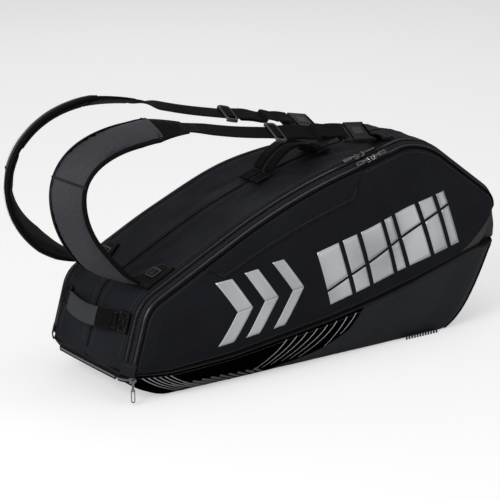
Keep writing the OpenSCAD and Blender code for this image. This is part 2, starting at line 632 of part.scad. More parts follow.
strap_pad(near);  // near_strap_pad
strap_tip(near);  // near_strap_tip
strap_webbing(near);  // near_strap_webbing
tri_glide(near);  // near_tri_glide
strap_tail(near);  // near_strap_tail
buckle_male(near);  // near_buckle_male
strap_pad(far);  // far_strap_pad
strap_tip(far);  // far_strap_tip
strap_webbing(far);  // far_strap_webbing
tri_glide(far);  // far_tri_glide
strap_tail(far);  // far_strap_tail
buckle_male(far);  // far_buckle_male
top_handle();
end_handle();
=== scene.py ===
"""Looks of a long racket bag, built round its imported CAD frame. Sizes are in mm
until a mesh is made; the frame is in metres. +X is the racket-head end, -Y the
decorated side and +Z up, as in the CAD."""
import math

import bmesh
import bpy
import numpy as np
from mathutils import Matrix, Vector
from mathutils.bvhtree import BVHTree
from mathutils.kdtree import KDTree


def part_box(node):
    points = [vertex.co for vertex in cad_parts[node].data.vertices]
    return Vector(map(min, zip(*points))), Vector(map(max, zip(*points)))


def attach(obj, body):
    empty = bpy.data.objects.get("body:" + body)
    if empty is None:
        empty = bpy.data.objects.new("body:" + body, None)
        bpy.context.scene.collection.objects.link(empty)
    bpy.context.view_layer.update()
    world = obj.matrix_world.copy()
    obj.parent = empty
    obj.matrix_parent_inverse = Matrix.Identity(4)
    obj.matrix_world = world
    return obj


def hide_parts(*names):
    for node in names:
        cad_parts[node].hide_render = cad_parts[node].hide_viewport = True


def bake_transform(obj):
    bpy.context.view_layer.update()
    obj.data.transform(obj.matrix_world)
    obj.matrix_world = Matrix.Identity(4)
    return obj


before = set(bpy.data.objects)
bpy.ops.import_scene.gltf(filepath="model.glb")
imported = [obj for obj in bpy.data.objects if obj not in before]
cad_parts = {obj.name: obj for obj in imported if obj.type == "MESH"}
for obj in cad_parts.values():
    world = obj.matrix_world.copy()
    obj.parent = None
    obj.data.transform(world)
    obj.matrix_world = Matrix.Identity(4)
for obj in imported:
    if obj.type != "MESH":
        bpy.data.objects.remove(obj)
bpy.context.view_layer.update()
MM = 0.001
NEAR, FAR = -1, 1
TAG = {NEAR: "near", FAR: "far"}
BAND_BODY = {NEAR: "near_band", FAR: "far_door"}
PANEL_BODY = {NEAR: "near_panel", FAR: "far_door"}
TAU = 2 * math.pi


def box_mm(node):
    """Lowest and highest corner of a CAD node, in mm."""
    lo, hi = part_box(node)
    return np.array(lo) / MM, np.array(hi) / MM


# ---------------------------------------------------------------- sizes
TAIL_X, NOSE_X = -375.0, 399.0
SHOULDER, SLOPE, CREST = (-344.0, 162.0), (-63.7, 303.0), (240.4, 348.0)
SHOULDER_R, SLOPE_R, CREST_R, NOSE_R = 60.0, 1150.0, 130.0, 45.0
NOSE_TOP = 226.0
CROWN, BULGE = 3.0, 13.0
BAND_W, BAND_DROP = 18.0, 10.0
ZIP_TILT, BAND_TILT = 8, 29
ZIP_HALF = 7.0
SEAM_GAP = 4.0
SEAM_FROM, SEAM_TO = -356.0, 350.0
NOSE_LEVEL, SETBACK = 205.0, 30.0
POD_TAIL, POD_NOSE = -374.0, 386.0
FLOOR_TAIL, FLOOR_NOSE = -312.0, 290.0
FLOOR_HALF = 112.0
POD_CORNER = 26.0
PAD_W, PAD_T, PAD_ROLL = 66.0, 11.0, 30.0
WEB_W, WEB_T = 34.0, 2.2
HANDLE_W = 30.0
STEP = 5.5


def soft_table(points, reach):
    """Look-up with its corners rounded over reach on each side."""
    xs, ys = zip(*points)

    def value(x):
        x = np.asarray(x, float)
        return np.mean([np.interp(x + o, xs, ys) for o in np.linspace(-reach, reach, 7)], axis=0)
    return value


main_half = soft_table([(TAIL_X, 110), (-200, 112), (98, 90), (205, 68), (NOSE_X, 85)], 12)
seam_half = soft_table([(-366, 113), (-350, 124), (-300, 135), (-200, 141), (0, 141),
                        (200, 131), (330, 123), (356, 112), (380, 90)], 5)
seam_z = soft_table([(-380, 52), (-310, 47), (-190, 54), (0, 77), (110, 93), (180, 107),
                     (330, 143), (400, 146)], 10)


# ---------------------------------------------------------------- curves
def unit(v):
    """Vectors scaled to length 1."""
    v = np.asarray(v, float)
    return v / np.maximum(np.linalg.norm(v, axis=-1, keepdims=True), 1e-12)


def heading(a, b):
    """Direction from a to b, in radians."""
    return math.atan2(b[1] - a[1], b[0] - a[0])


def corner(a, b, c, r, steps):
    """Arc of radius r that rounds the corner b of the path a, b, c, with its normals."""
    h1, h2 = heading(a, b), heading(b, c)
    mid = (h1 + h2) / 2
    m = np.array(b) - np.array([-math.sin(mid), math.cos(mid)]) * r / math.cos((h1 - h2) / 2)
    rows = []
    for k in range(steps + 1):
        h = h1 + (h2 - h1) * k / steps
        n = np.array([-math.sin(h), math.cos(h)])
        rows.append(np.concatenate([m + n * r, n]))
    return rows


def lengths(path):
    """Distance along a path at each of its points."""
    return np.concatenate([[0], np.cumsum(np.linalg.norm(np.diff(path, axis=0), axis=1))])


def spread(path, count, dims=None):
    """The same path as count evenly spaced points, measured in its first dims axes."""
    at = lengths(path[:, :dims])
    to = np.linspace(0, at[-1], count)
    return np.stack([np.interp(to, at, path[:, k]) for k in range(path.shape[1])], axis=1)


def resample(path, step, dims=None):
    """The same path with its points about step apart."""
    length = lengths(path[:, :dims])[-1]
    return spread(path, max(2, int(round(length / step)) + 1), dims)


def smooth_path(points, step, passes=3):
    """Even polyline through control points, with its corners eased."""
    p = resample(np.array(points, float), step)
    for _ in range(passes):
        p[1:-1] = (p[:-2] + 2 * p[1:-1] + p[2:]) / 4
    return p


def make_outline():
    """Side view of the bag's top, tail to prow: x, z and the outward normal's x, z."""
    tail = (TAIL_X, float(seam_z(TAIL_X)) + SEAM_GAP)
    nose = (NOSE_X, NOSE_TOP)
    prow = (NOSE_X - 3, float(seam_z(NOSE_X)) + SEAM_GAP)
    first = heading(tail, SHOULDER)
    rows = [np.array([*tail, -math.sin(first), math.cos(first)])]
    rows += corner(tail, SHOULDER, SLOPE, SHOULDER_R, 12)
    rows += corner(SHOULDER, SLOPE, CREST, SLOPE_R, 24)
    rows += corner(SLOPE, CREST, nose, CREST_R, 14)
    rows += corner(CREST, nose, prow, NOSE_R, 10)
    end = heading(nose, prow)
    rows.append(np.array([*prow, -math.sin(end), math.cos(end)]))
    out = resample(np.array(rows), STEP, 2)
    out[:, 2:] = unit(out[:, 2:])
    return out


OUT = make_outline()
RUN = lengths(OUT[:, :2])
SHARE = RUN / RUN[-1]
COUNT = len(OUT)
TOP = OUT[:, 3] > 0.2


def on_outline(x):
    """Height and normal of the top at x."""
    rows = OUT[TOP]
    order = np.argsort(rows[:, 0])
    rows = rows[order]
    v = np.array([np.interp(x, rows[:, 0], rows[:, k]) for k in (1, 2, 3)])
    v[1:] = unit(v[1:])
    return v


def index_at_x(x):
    """Index of the outline's top station nearest to x."""
    return int(np.argmin(np.where(TOP, np.abs(OUT[:, 0] - x), 1e9)))


def setback():
    """How far the lower nose of the moving sides stands back from the outline."""
    x, z = OUT[:, 0], OUT[:, 1]
    low = OUT[-1, 1]
    return np.where((x > 300) & (z < NOSE_LEVEL), SETBACK * (NOSE_LEVEL - z) / (NOSE_LEVEL - low), 0)


def band_row(side, s, depth=0.0):
    """The band's line at s, from 0 at the main zip to 1 at the side panel's edge."""
    w = main_half(OUT[:, 0]) + BAND_W * s - depth * 0.5
    d = BAND_DROP * s + depth
    return np.stack([OUT[:, 0] - OUT[:, 2] * d - setback() * s, side * w,
                     OUT[:, 1] - OUT[:, 3] * d], axis=1)


FAR_LIFT, FAR_AT, FAR_REACH = 8.5, -45.0, 95.0
FAR_END, FAR_FADE = 84, 40


def far_lift_at(x):
    """Extra height of the far zip's line over the middle of the slope, where the bag slumps."""
    return FAR_LIFT * np.exp(-((x - FAR_AT) / FAR_REACH) ** 2) * np.clip((FAR_END - x) / FAR_FADE, 0, 1)


def gusset_row(s, up=0.0, trim=ZIP_HALF):
    """The gusset's line at s, from -1 at the near zip to 1 at the far zip. The far
    edge stands a little higher over the middle of the slope, where the bag slumps."""
    x = OUT[:, 0]
    h = CROWN * (1 - s * s) + up + far_lift_at(x) * max(0.0, s) ** 2
    return np.stack([x + OUT[:, 2] * h, s * (main_half(x) - trim), OUT[:, 1] + OUT[:, 3] * h], axis=1)


def seam_line(side):
    """Foot of a side, where it meets the pod's welt."""
    x = SEAM_FROM + (SEAM_TO - SEAM_FROM) * SHARE
    return np.stack([x, side * seam_half(x), seam_z(x)], axis=1)


def panel_row(side, v, depth=0.0):
    """The side panel's line at v, from 0 at the pod seam to 1 at its upper edge."""
    a, b = seam_line(side), band_row(side, 1)
    height = np.linalg.norm(b - a, axis=1, keepdims=True)
    t = (SEAM_GAP + v * (height - 2 * SEAM_GAP)) / height
    out = BULGE * np.sin(math.pi * t[:, 0]) ** 0.8 * np.sin(np.radians(12 + 156 * SHARE)) - depth
    p = a + (b - a) * t
    p[:, 1] += side * out
    return p


# ---------------------------------------------------------------- fields of height
def waves(p, seed, amp, wave):
    """Gentle, seeded unevenness over points p."""
    g = np.random.default_rng(seed)
    h = np.zeros(p.shape[:-1])
    for _ in range(6):
        d = unit(g.normal(size=3))
        k = TAU / (wave * g.uniform(0.7, 1.6))
        h += np.sin(p @ d * k + g.uniform(0, TAU)) / 6
    return amp * 2 * h


def pucker(run, dist, seed, amp=0.6, wave=13.0, fall=7.0):
    """Small gathers that a seam leaves in the fabric beside it."""
    g = np.random.default_rng(seed)
    phase = sum(np.sin(run * TAU / g.uniform(50, 140) + g.uniform(0, TAU)) for _ in range(3))
    return amp * np.sin(run * TAU / wave + 2.2 * phase) * np.exp(-np.abs(dist) / fall)


def swell(dist, height, width):
    """Padding that rises away from a seam."""
    return height * (1 - np.exp(-np.abs(dist) / width))


# ---------------------------------------------------------------- meshes
def build(name, verts, faces, corner_uv=None, mats=(), face_mats=None, smooth=True):
    """Object from points in mm; corner_uv is one (u, v) in mm per face corner."""
    me = bpy.data.meshes.new(name)
    me.from_pydata((np.asarray(verts) * MM).tolist(), [], faces)
    if corner_uv is not None:
        layer = me.uv_layers.new(name="mm")
        layer.data.foreach_set("uv", np.asarray(corner_uv, float).ravel())
    for m in mats:
        me.materials.append(m)
    if face_mats is not None:
        me.polygons.foreach_set("material_index", face_mats)
    me.polygons.foreach_set("use_smooth", [smooth] * len(me.polygons))
    bm = bmesh.new()
    bm.from_mesh(me)
    bmesh.ops.recalc_face_normals(bm, faces=bm.faces)
    bm.to_mesh(me)
    bm.free()
    obj = bpy.data.objects.new(name, me)
    bpy.context.scene.collection.objects.link(obj)
    return obj


def loft(rings, mats, name, loop=False, caps=True, face_mat=None):
    """Solid through rings of points (stations x ring x 3); strips close its ends."""
    rings = np.asarray(rings, float)
    nu, nv = rings.shape[:2]
    run = lengths(rings.mean(axis=1))
    mid = rings[nu // 2]
    around = np.concatenate([[0], np.cumsum(np.linalg.norm(np.roll(mid, -1, 0) - mid, axis=1))])
    i, j = np.meshgrid(np.arange(nu if loop else nu - 1), np.arange(nv), indexing="ij")
    i, j = i.ravel(), j.ravel()
    i2, j2 = (i + 1) % nu, (j + 1) % nv
    faces = np.stack([i * nv + j, i2 * nv + j, i2 * nv + j2, i * nv + j2], axis=1)
    extra = run[-1] + (np.linalg.norm(rings[0].mean(0) - rings[-1].mean(0)) if loop else 0)
    runs = np.append(run, extra)
    ua, ub, va, vb = runs[i], runs[i + 1], around[j], around[j + 1]
    uv = np.stack([ua, va, ub, va, ub, vb, ua, vb], axis=1).reshape(-1, 2)
    faces = faces.tolist()
    index = face_mat[i, j].tolist() if face_mat is not None else None
    if caps and not loop:
        half = nv // 2
        for base in (0, (nu - 1) * nv):
            for k in range(half - 1):
                a, b, c, d = k, k + 1, nv - 2 - k, nv - 1 - k
                quad = [a, b, c, d] if b != c else [a, b, d]
                faces.append([base + q for q in quad])
                uv = np.concatenate([uv, [[q, 0.0] for q in quad]])
                if index is not None:
                    index.append(0)
    return build(name, rings.reshape(-1, 3), faces, uv, mats, index)


def grid_normals(p, sign=1):
    """Normals of a grid of points."""
    return sign * unit(np.cross(np.gradient(p, axis=0), np.gradient(p, axis=1)))


def sheet(p, thick, mats, name, sign=1, face_mat=None):
    """Closed sheet of fabric under the grid p (stations x across x 3), with rolled edges."""
    n = grid_normals(p, sign)
    low = p - n * thick
    left = p[:, 0] - n[:, 0] * thick / 2 + unit(p[:, 0] - p[:, 1]) * thick / 2
    right = p[:, -1] - n[:, -1] * thick / 2 + unit(p[:, -1] - p[:, -2]) * thick / 2
    rings = np.concatenate([p, right[:, None], low[:, ::-1], left[:, None]], axis=1)
    if face_mat is not None:
        m = p.shape[1]
        full = np.zeros((p.shape[0], 2 * m + 2), int)
        full[:, :m - 1] = face_mat
        face_mat = full
    return loft(rings, mats, name, face_mat=face_mat)


def path_frames(path, up):
    """Tangent, side and normal along a path; up is one vector or one per point."""
    t = unit(np.gradient(path, axis=0))
    up = np.broadcast_to(np.asarray(up, float), path.shape)
    side = unit(np.cross(up, t))
    return t, side, unit(np.cross(t, side))


def ribbon(path, up, width, thick, mats, name, crown=0.0):
    """Webbing: a flat strip with rounded selvedges along a path."""
    path = np.asarray(path, float)
    _, side, n = path_frames(path, up)
    w = np.broadcast_to(np.asarray(width, float), (len(path),))[:, None]
    h = thick / 2
    across = np.linspace(-1, 1, 9)
    top = [path + side * (w / 2 - h) * a + n * (h + crown * (1 - a * a)) for a in across]
    low = [path + side * (w / 2 - h) * a - n * (h - crown * (1 - a * a)) for a in across[::-1]]
    rim = side * (w / 2)
    return loft(np.stack(top + [path + rim] + low + [path - rim], axis=1), mats, name)


def cord(path, radius, mats, name, loop=False, sides=10, up=(0.1, 0.2, 1)):
    """Round cord along a path."""
    path = np.asarray(path, float)
    t = unit(np.gradient(path, axis=0))
    if loop:
        t = unit(np.roll(path, -1, 0) - np.roll(path, 1, 0))
    side = np.zeros_like(path)
    ref = unit(np.cross(t[0], unit(up)))
    for k in range(len(path)):
        ref = unit(ref - t[k] * np.dot(ref, t[k]))
        side[k] = ref
    n = np.cross(t, side)
    ang = np.arange(sides) * TAU / sides
    r = np.broadcast_to(np.asarray(radius, float), (len(path),))[:, None]
    rings = np.stack([path + side * r * math.cos(a) + n * r * math.sin(a) for a in ang], axis=1)
    return loft(rings, mats, name, loop=loop)


def ring_faces(rings, sides, base=0):
    """Faces of a closed solid made of equal rings of points, the first one at index base."""
    faces = [[base + k * sides + j, base + k * sides + (j + 1) % sides,
              base + (k + 1) * sides + (j + 1) % sides, base + (k + 1) * sides + j]
             for k in range(rings - 1) for j in range(sides)]
    return faces + [[base + k * sides + j for j in range(sides)] for k in (0, rings - 1)]


def stacked(rings, mat, name):
    """Hard-edged solid through flat rings of points."""
    verts = np.concatenate(rings)
    return build(name, verts, ring_faces(len(rings), len(rings[0])), None, (mat,), smooth=False)


def stitches(paths, mat, name, pitch=3.6, length=2.5, radius=0.32):
    """Rows of sewn stitches along (path, normals) pairs, as one mesh of short threads."""
    verts, faces = [], []
    for path, normals in paths:
        path = np.asarray(path, float)
        s = lengths(path)
        normals = np.broadcast_to(np.asarray(normals, float), path.shape)
        starts = np.arange(0.8, s[-1] - length, pitch)
        for a in starts:
            q = np.array([[np.interp(a + f * length, s, path[:, k]) for k in range(3)]
                          for f in (0, 0.2, 0.8, 1)])
            n = np.array([np.interp(a, s, normals[:, k]) for k in range(3)])
            t = unit(q[-1] - q[0])
            side = unit(np.cross(n, t))
            n = np.cross(t, side)
            base = len(verts)
            for k, (r, h) in enumerate(zip((0.35, 1, 1, 0.35), (-0.25, 0.12, 0.12, -0.25))):
                c = q[k] + n * h
                for b in range(5):
                    ang = TAU * b / 5
                    verts.append(c + (side * math.cos(ang) + n * math.sin(ang)) * radius * r)
            faces += ring_faces(4, 5, base)
    return build(name, np.array(verts), faces, None, (mat,))


def teeth(path, up, reach, mat, name, phase=0.0, side_sign=1, pitch=2.1):
    """One row of a zip's coil: small rounded teeth that reach across to the other row."""
    path = np.asarray(path, float)
    s = lengths(path)
    _, side, n = path_frames(path, up)
    verts, faces = [], []
    shape = [(-1, -0.5), (0.6, -0.5), (1, -0.28), (1, 0.28), (0.6, 0.5), (-1, 0.5)]
    for a in np.arange(1 + phase * pitch, s[-1] - 1, pitch):
        c, sd, nn = (np.array([np.interp(a, s, m[:, k]) for k in range(3)]) for m in (path, side, n))
        sd, nn = unit(sd), unit(nn)
        t = np.cross(sd, nn)
        base = len(verts)
        for h, grow in ((-0.5, 1.0), (0.45, 1.0), (0.75, 0.7)):
            for x, y in shape:
                verts.append(c + sd * side_sign * (x * reach * (grow if x > 0 else 1) + 0.4)
                             + t * y * 1.25 * grow + nn * h)
        faces += ring_faces(3, len(shape), base)
    return build(name, np.array(verts), faces, None, (mat,), smooth=False)


# ---------------------------------------------------------------- materials
class Mat:
    """A procedural material; add() makes a node and returns its first output."""

    def __init__(self, name, colour):
        self.m = bpy.data.materials.new(name)
        self.m.use_nodes = True
        self.t = self.m.node_tree
        self.p = self.t.nodes["Principled BSDF"]
        self.m.diffuse_color = (*colour, 1)
        self.set("Base Color", (*colour, 1))

    def add(self, kind, ins=(), out=0, **attrs):
        n = self.t.nodes.new(kind)
        for k, v in attrs.items():
            setattr(n, k, v)
        for k, v in (ins.items() if isinstance(ins, dict) else enumerate(ins)):
            self.put(v, n.inputs[k])
        return n.outputs[out]

    def put(self, value, socket):
        if isinstance(value, bpy.types.NodeSocket):
            self.t.links.new(value, socket)
        elif value is not None:
            socket.default_value = value

    def set(self, name, value):
        self.put(value, self.p.inputs[name])

    def math(self, op, a, b=0.0):
        return self.add("ShaderNodeMath", (a, b), operation=op)

    def mix(self, fac, a, b):
        return self.add("ShaderNodeMix", {0: fac, 6: a, 7: b}, out=2, data_type="RGBA")

    def noise(self, coord, scale, detail=3.0):
        return self.add("ShaderNodeTexNoise", {"Vector": coord, "Scale": scale, "Detail": detail})

    def span(self, value, lo, hi, to_lo, to_hi):
        return self.add("ShaderNodeMapRange", (value, lo, hi, to_lo, to_hi))

    def place(self, uv):
        """Position in mm: along the piece from its UVs, or in the object's own frame."""
        if uv:
            return self.add("ShaderNodeUVMap", uv_map="mm")
        return self.add("ShaderNodeVectorMath", (self.object(), (1000, 1000, 1000)),
                        operation="MULTIPLY")

    def object(self):
        return self.add("ShaderNodeTexCoord", out=3)

    def bump(self, height, distance, strength=1.0, under=None):
        return self.add("ShaderNodeBump", {"Strength": strength, "Distance": distance,
                                           "Height": height, "Normal": under})


def tint(colour, scale, add=0.0):
    """The colour made darker or lighter, with its alpha."""
    return [min(1, c * scale + add) for c in colour] + [1]


def weave(m, uv, pitch, ribs=False):
    """Height of a plain weave of this pitch, or of cross ribs, from 0 to 1."""
    place = m.place(uv)
    xyz = m.t.nodes.new("ShaderNodeSeparateXYZ")
    m.put(place, xyz.inputs[0])
    a = xyz.outputs[0]
    b = xyz.outputs[1] if uv else xyz.outputs[2]
    if not uv:
        a = m.math("ADD", a, m.math("MULTIPLY", xyz.outputs[1], 0.7))
    k = math.pi / pitch
    sa = m.math("SINE", m.math("MULTIPLY", a, k))
    sb = m.math("SINE", m.math("MULTIPLY", b, k * (0.45 if ribs else 1)))
    if ribs:
        return m.math("ADD", m.math("MULTIPLY", m.math("ABSOLUTE", sa), 0.75),
                      m.math("MULTIPLY", m.math("ABSOLUTE", sb), 0.25))
    checker = m.math("GREATER_THAN", m.math("MULTIPLY", sa, sb), 0.0)
    return m.add("ShaderNodeMix", {0: checker, 2: m.math("ABSOLUTE", sa),
                                   3: m.math("ABSOLUTE", sb)}, data_type="FLOAT")


def fabric(name, colour, pitch=1.3, rough=0.55, sheen=0.25, vary=0.22, uv=True, ribs=False,
           depth=0.00012, crumple=0.0006, coat=0.0, wear_and_edge_highlight=0.2, spec=0.22):
    """Woven cloth: thread pattern with painted shade in its hollows, uneven dye, worn edges that also carry
    a painted highlight, sheen and soft creases.
    """
    m = Mat(name, colour)
    obj = m.object()
    h = weave(m, uv, pitch, ribs)
    broad = m.noise(obj, 7.0, 2.0)
    fine = m.noise(obj, 260.0, 2.0)
    tone = m.mix(m.span(broad, 0.3, 0.7, 0, 1), tint(colour, 1 - vary), tint(colour, 1 + vary))
    # painted shade: the colour is darkened in the weave's hollows
    tone = m.mix(m.math("MULTIPLY", m.math("SUBTRACT", 1.0, h), 0.35), tone, tint(colour, 0.4))
    tone = m.mix(m.span(fine, 0.35, 0.75, 0, 0.25), tone, tint(colour, 1.7, 0.004))
    # worn edges and painted highlight: convex edges, found by pointiness, are lightened
    edge = m.span(m.add("ShaderNodeNewGeometry", out=7), 0.53, 0.62, 0, wear_and_edge_highlight)
    m.set("Base Color", m.mix(edge, tone, tint(colour, 2.4, 0.012)))
    m.set("Roughness", m.span(m.noise(obj, 18.0), 0.3, 0.7, rough - 0.06, rough + 0.08))
    m.set("Sheen Weight", sheen)
    m.set("Sheen Roughness", 0.4)
    m.set("Coat Weight", coat)
    m.set("Coat Roughness", 0.3)
    m.set("Specular IOR Level", spec)
    crease = m.bump(m.noise(obj, 34.0, 4.0), crumple, 0.5)
    m.set("Normal", m.bump(h, depth, 0.8, crease))
    return m.m


def plastic(name, colour, rough=0.35, grain=900.0, wear_and_edge_highlight=0.5):
    """Moulded plastic: fine grain, rubbed edges that also carry a painted highlight, and slight unevenness
    of gloss.
    """
    m = Mat(name, colour)
    obj = m.object()
    # rubbed edges and painted highlight: convex edges, found by pointiness, are lightened
    edge = m.span(m.add("ShaderNodeNewGeometry", out=7), 0.52, 0.6, 0, wear_and_edge_highlight)
    tone = m.mix(m.span(m.noise(obj, 60.0), 0.3, 0.7, 0, 1), tint(colour, 0.85), tint(colour, 1.2))
    m.set("Base Color", m.mix(edge, tone, tint(colour, 2.2, 0.03)))
    m.set("Roughness", m.span(m.noise(obj, 120.0), 0.3, 0.7, rough - 0.07, rough + 0.09))
    m.set("Normal", m.bump(m.noise(obj, grain, 2.0), 0.00004, 0.6))
    return m.m


def metal(name, colour, rough=0.25):
    """Plated metal with fine scratches and darker hollows."""
    m = Mat(name, colour)
    obj = m.object()
    long = m.add("ShaderNodeMapping", {"Vector": obj, "Scale": (300, 2400, 300)})
    scratch = m.add("ShaderNodeTexNoise", {"Vector": long, "Scale": 1.0, "Detail": 3.0})
    edge = m.span(m.add("ShaderNodeNewGeometry", out=7), 0.5, 0.6, 0, 0.6)
    m.set("Base Color", m.mix(edge, tint(colour, 0.75), tint(colour, 1.5)))
    m.set("Metallic", 1.0)
    m.set("Roughness", m.span(scratch, 0.3, 0.7, rough - 0.08, rough + 0.12))
    m.set("Normal", m.bump(scratch, 0.00002, 0.4))
    return m.m


def film(name, colour, rough=0.4, metallic=0.5, shade=0.25):
    """Transfer print: thin metallic ink with a slow change of tone and fine brushing."""
    m = Mat(name, colour)
    obj = m.object()
    slow = m.noise(obj, 9.0, 1.0)
    long = m.add("ShaderNodeMapping", {"Vector": obj, "Scale": (120, 120, 1500),
                                       "Rotation": (0, 0.6, 0)})
    brush = m.add("ShaderNodeTexNoise", {"Vector": long, "Scale": 1.0, "Detail": 2.0})
    tone = m.mix(m.span(slow, 0.35, 0.65, 0, 1), tint(colour, 1 - shade), tint(colour, 1 + shade * 0.6))
    m.set("Base Color", m.mix(m.span(brush, 0.4, 0.7, 0, 0.25), tone, tint(colour, 1.25)))
    m.set("Metallic", metallic)
    m.set("Roughness", m.span(brush, 0.3, 0.7, rough - 0.06, rough + 0.08))
    m.set("Normal", m.bump(weave(m, False, 1.3), 0.00005, 0.5))
    return m.m


def foam_material(name, colour):
    """Closed-cell foam: small pits and a dull surface."""
    m = Mat(name, colour)
    obj = m.object()
    cells = m.add("ShaderNodeTexVoronoi", {"Vector": obj, "Scale": 420.0})
    m.set("Base Color", m.mix(m.span(cells, 0, 0.6, 0, 1), tint(colour, 1.2), tint(colour, 0.7)))
    m.set("Roughness", 0.85)
    m.set("Normal", m.bump(cells, 0.0004, 0.7))
    return m.m


BODY = fabric("body_fabric", (0.0160, 0.0168, 0.0218), pitch=1.3, rough=0.6, sheen=0.0, spec=0.06)
# lighter, warmer copy of the band's fabric: painted light on the shaded lower nose corner
CHEEK_PAINTED_LIGHT = fabric("cheek_fabric_painted_light", (0.060, 0.055, 0.054), pitch=1.3, rough=0.6, sheen=0.02, spec=0.12)
PANEL = fabric("panel_fabric", (0.0112, 0.0118, 0.0160), pitch=1.3, rough=0.6, sheen=0.0, uv=False,
               spec=0.07)
STRAP = fabric("strap_fabric", (0.0440, 0.0440, 0.0520), pitch=0.9, rough=0.6, sheen=0.03, uv=False,
               depth=0.00008)
MESH = fabric("spacer_mesh", (0.005, 0.005, 0.0055), pitch=2.6, rough=0.75, sheen=0.01, uv=False,
              depth=0.0006)
REINFORCE = fabric("reinforcement", (0.004, 0.004, 0.0045), pitch=2.2, rough=0.55, sheen=0.0,
                   depth=0.0004, spec=0.07, wear_and_edge_highlight=0.04)
WEBBING = fabric("webbing", (0.0050, 0.0050, 0.0060), pitch=2.4, rough=0.65, sheen=0.0, ribs=True,
                 depth=0.0004, crumple=0.0003, spec=0.08)
WEB_GREY = fabric("webbing_grey", (0.046, 0.048, 0.050), pitch=2.4, rough=0.6, sheen=0.0, ribs=True,
                  depth=0.0004, crumple=0.0003, spec=0.08)
TAPE = fabric("zip_tape", (0.003, 0.003, 0.0035), pitch=0.9, rough=0.65, sheen=0.0, ribs=True, spec=0.05,
              wear_and_edge_highlight=0.04)
PIPING = fabric("piping", (0.0035, 0.0035, 0.0042), pitch=1.0, rough=0.5, sheen=0.0, spec=0.07, wear_and_edge_highlight=0.04)
LINING = fabric("lining", (0.04, 0.042, 0.048), pitch=0.8, rough=0.6, sheen=0.03, depth=0.00006)
POD = fabric("pod_fabric", (0.0065, 0.0085, 0.0130), pitch=1.1, rough=0.36, sheen=0.0, coat=0.03,
             depth=0.00008)
POD_GLOSS = fabric("pod_gloss_print", (0.0008, 0.0007, 0.0012), pitch=1.1, rough=0.45, sheen=0.0,
                   coat=0.0, depth=0.00005, wear_and_edge_highlight=0.0, spec=0.0)
RUBBER = plastic("base_rubber", (0.012, 0.012, 0.013), rough=0.6, grain=500.0)
ACETAL = plastic("buckle_plastic", (0.005, 0.005, 0.006), rough=0.24, wear_and_edge_highlight=0.8)
GLIDE = plastic("glide_plastic", (0.03, 0.03, 0.031), rough=0.22, wear_and_edge_highlight=0.9)
COIL = plastic("zip_coil", (0.009, 0.009, 0.0105), rough=0.3)
COIL_PALE = plastic("zip_coil_pale", (0.085, 0.085, 0.09), rough=0.3)
NICKEL = metal("zip_metal", (0.36, 0.36, 0.37), rough=0.24)
SILVER = film("silver_print", (0.62, 0.65, 0.655))
FINE_SILVER = film("fine_silver_print", (0.50, 0.48, 0.51), rough=0.45)
GREY_PRINT = film("grey_print", (0.115, 0.108, 0.118), rough=0.5, metallic=0.2)
FOAM = foam_material("foam", (0.04, 0.04, 0.043))
THREAD = plastic("thread_pale", (0.030, 0.030, 0.034), rough=0.5)


def done(obj, body, slot, *nodes):
    """Hangs a finished piece on its body and hides the CAD nodes it stands for; slot is not used."""
    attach(obj, body)
    if nodes:
        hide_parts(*nodes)
    return obj


def bent(obj, still, moving, start, end, slot, *nodes):
    """Bakes a cloth piece's placement into its mesh and hides the CAD nodes it stands for; still, moving,
    start, end and slot are not used.
    """
    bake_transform(obj)
    if nodes:
        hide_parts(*nodes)
    return obj


def sew(rows, name, body, slot="body_fabric", **size):
    """Stitches along (path, normals) rows, on the body they are sewn to."""
    return done(stitches(rows, THREAD, name, **size), body, slot)


def hems(p, n, columns, inset=1, lift=0.1):
    """Stitch rows along columns of the grid p, short of its ends and lifted along its normals n."""
    part = slice(inset, len(p) - inset)
    return [(p[part, k] + n[part, k] * lift, n[part, k]) for k in columns]


# ---------------------------------------------------------------- cloth
def grid_faces(nu, nv):
    """Quads of a grid of nu by nv points."""
    i, j = np.meshgrid(np.arange(nu - 1), np.arange(nv - 1), indexing="ij")
    a = (i * nv + j).ravel()
    return np.stack([a, a + nv, a + nv + 1, a + 1], axis=1).tolist()


def run_cloth(obj, cloth, frames):
    """Steps a cloth from its first frame to its last and gives its points there, in metres."""
    cloth.point_cache.frame_end = frames
    scene = bpy.context.scene
    for f in range(1, frames + 1):
        scene.frame_set(f)
    moved = obj.evaluated_get(bpy.context.evaluated_depsgraph_get())
    co = np.zeros(len(obj.data.vertices) * 3)
    moved.data.vertices.foreach_get("co", co)
    scene.frame_set(1)
    return co.reshape(-1, 3)


def capped(shift, cap):
    """Shifts cut down to a length of cap."""
    return shift * np.minimum(1, cap / np.maximum(np.linalg.norm(shift, axis=-1, keepdims=True), 1e-9))


def settle(grid, pinned, load, shrink=-0.012, cap=4.0, frames=22):
    """Lets a sheet of cloth settle between its sewn edges, moving no point past cap mm.
    The cloth is cut a little large, so it gathers at its seams."""
    obj = build("settling", grid.reshape(-1, 3), grid_faces(*grid.shape[:2]))
    group = obj.vertex_groups.new(name="sewn")
    for w in np.unique(pinned):
        if w > 0:
            group.add(np.flatnonzero(pinned.ravel() == w).tolist(), float(w), "REPLACE")
    cloth = obj.modifiers.new("cloth", "CLOTH")
    cloth.settings.quality = 5
    cloth.settings.mass = 0.25
    cloth.settings.tension_stiffness = 12
    cloth.settings.compression_stiffness = 12
    cloth.settings.bending_stiffness = 0.6
    cloth.settings.vertex_group_mass = "sewn"
    cloth.settings.shrink_min = shrink
    scene = bpy.context.scene
    old = tuple(scene.gravity)
    scene.gravity = load
    co = run_cloth(obj, cloth, frames)
    scene.gravity = old
    bpy.data.objects.remove(obj)
    return grid + capped(co.reshape(grid.shape) / MM - grid, cap)


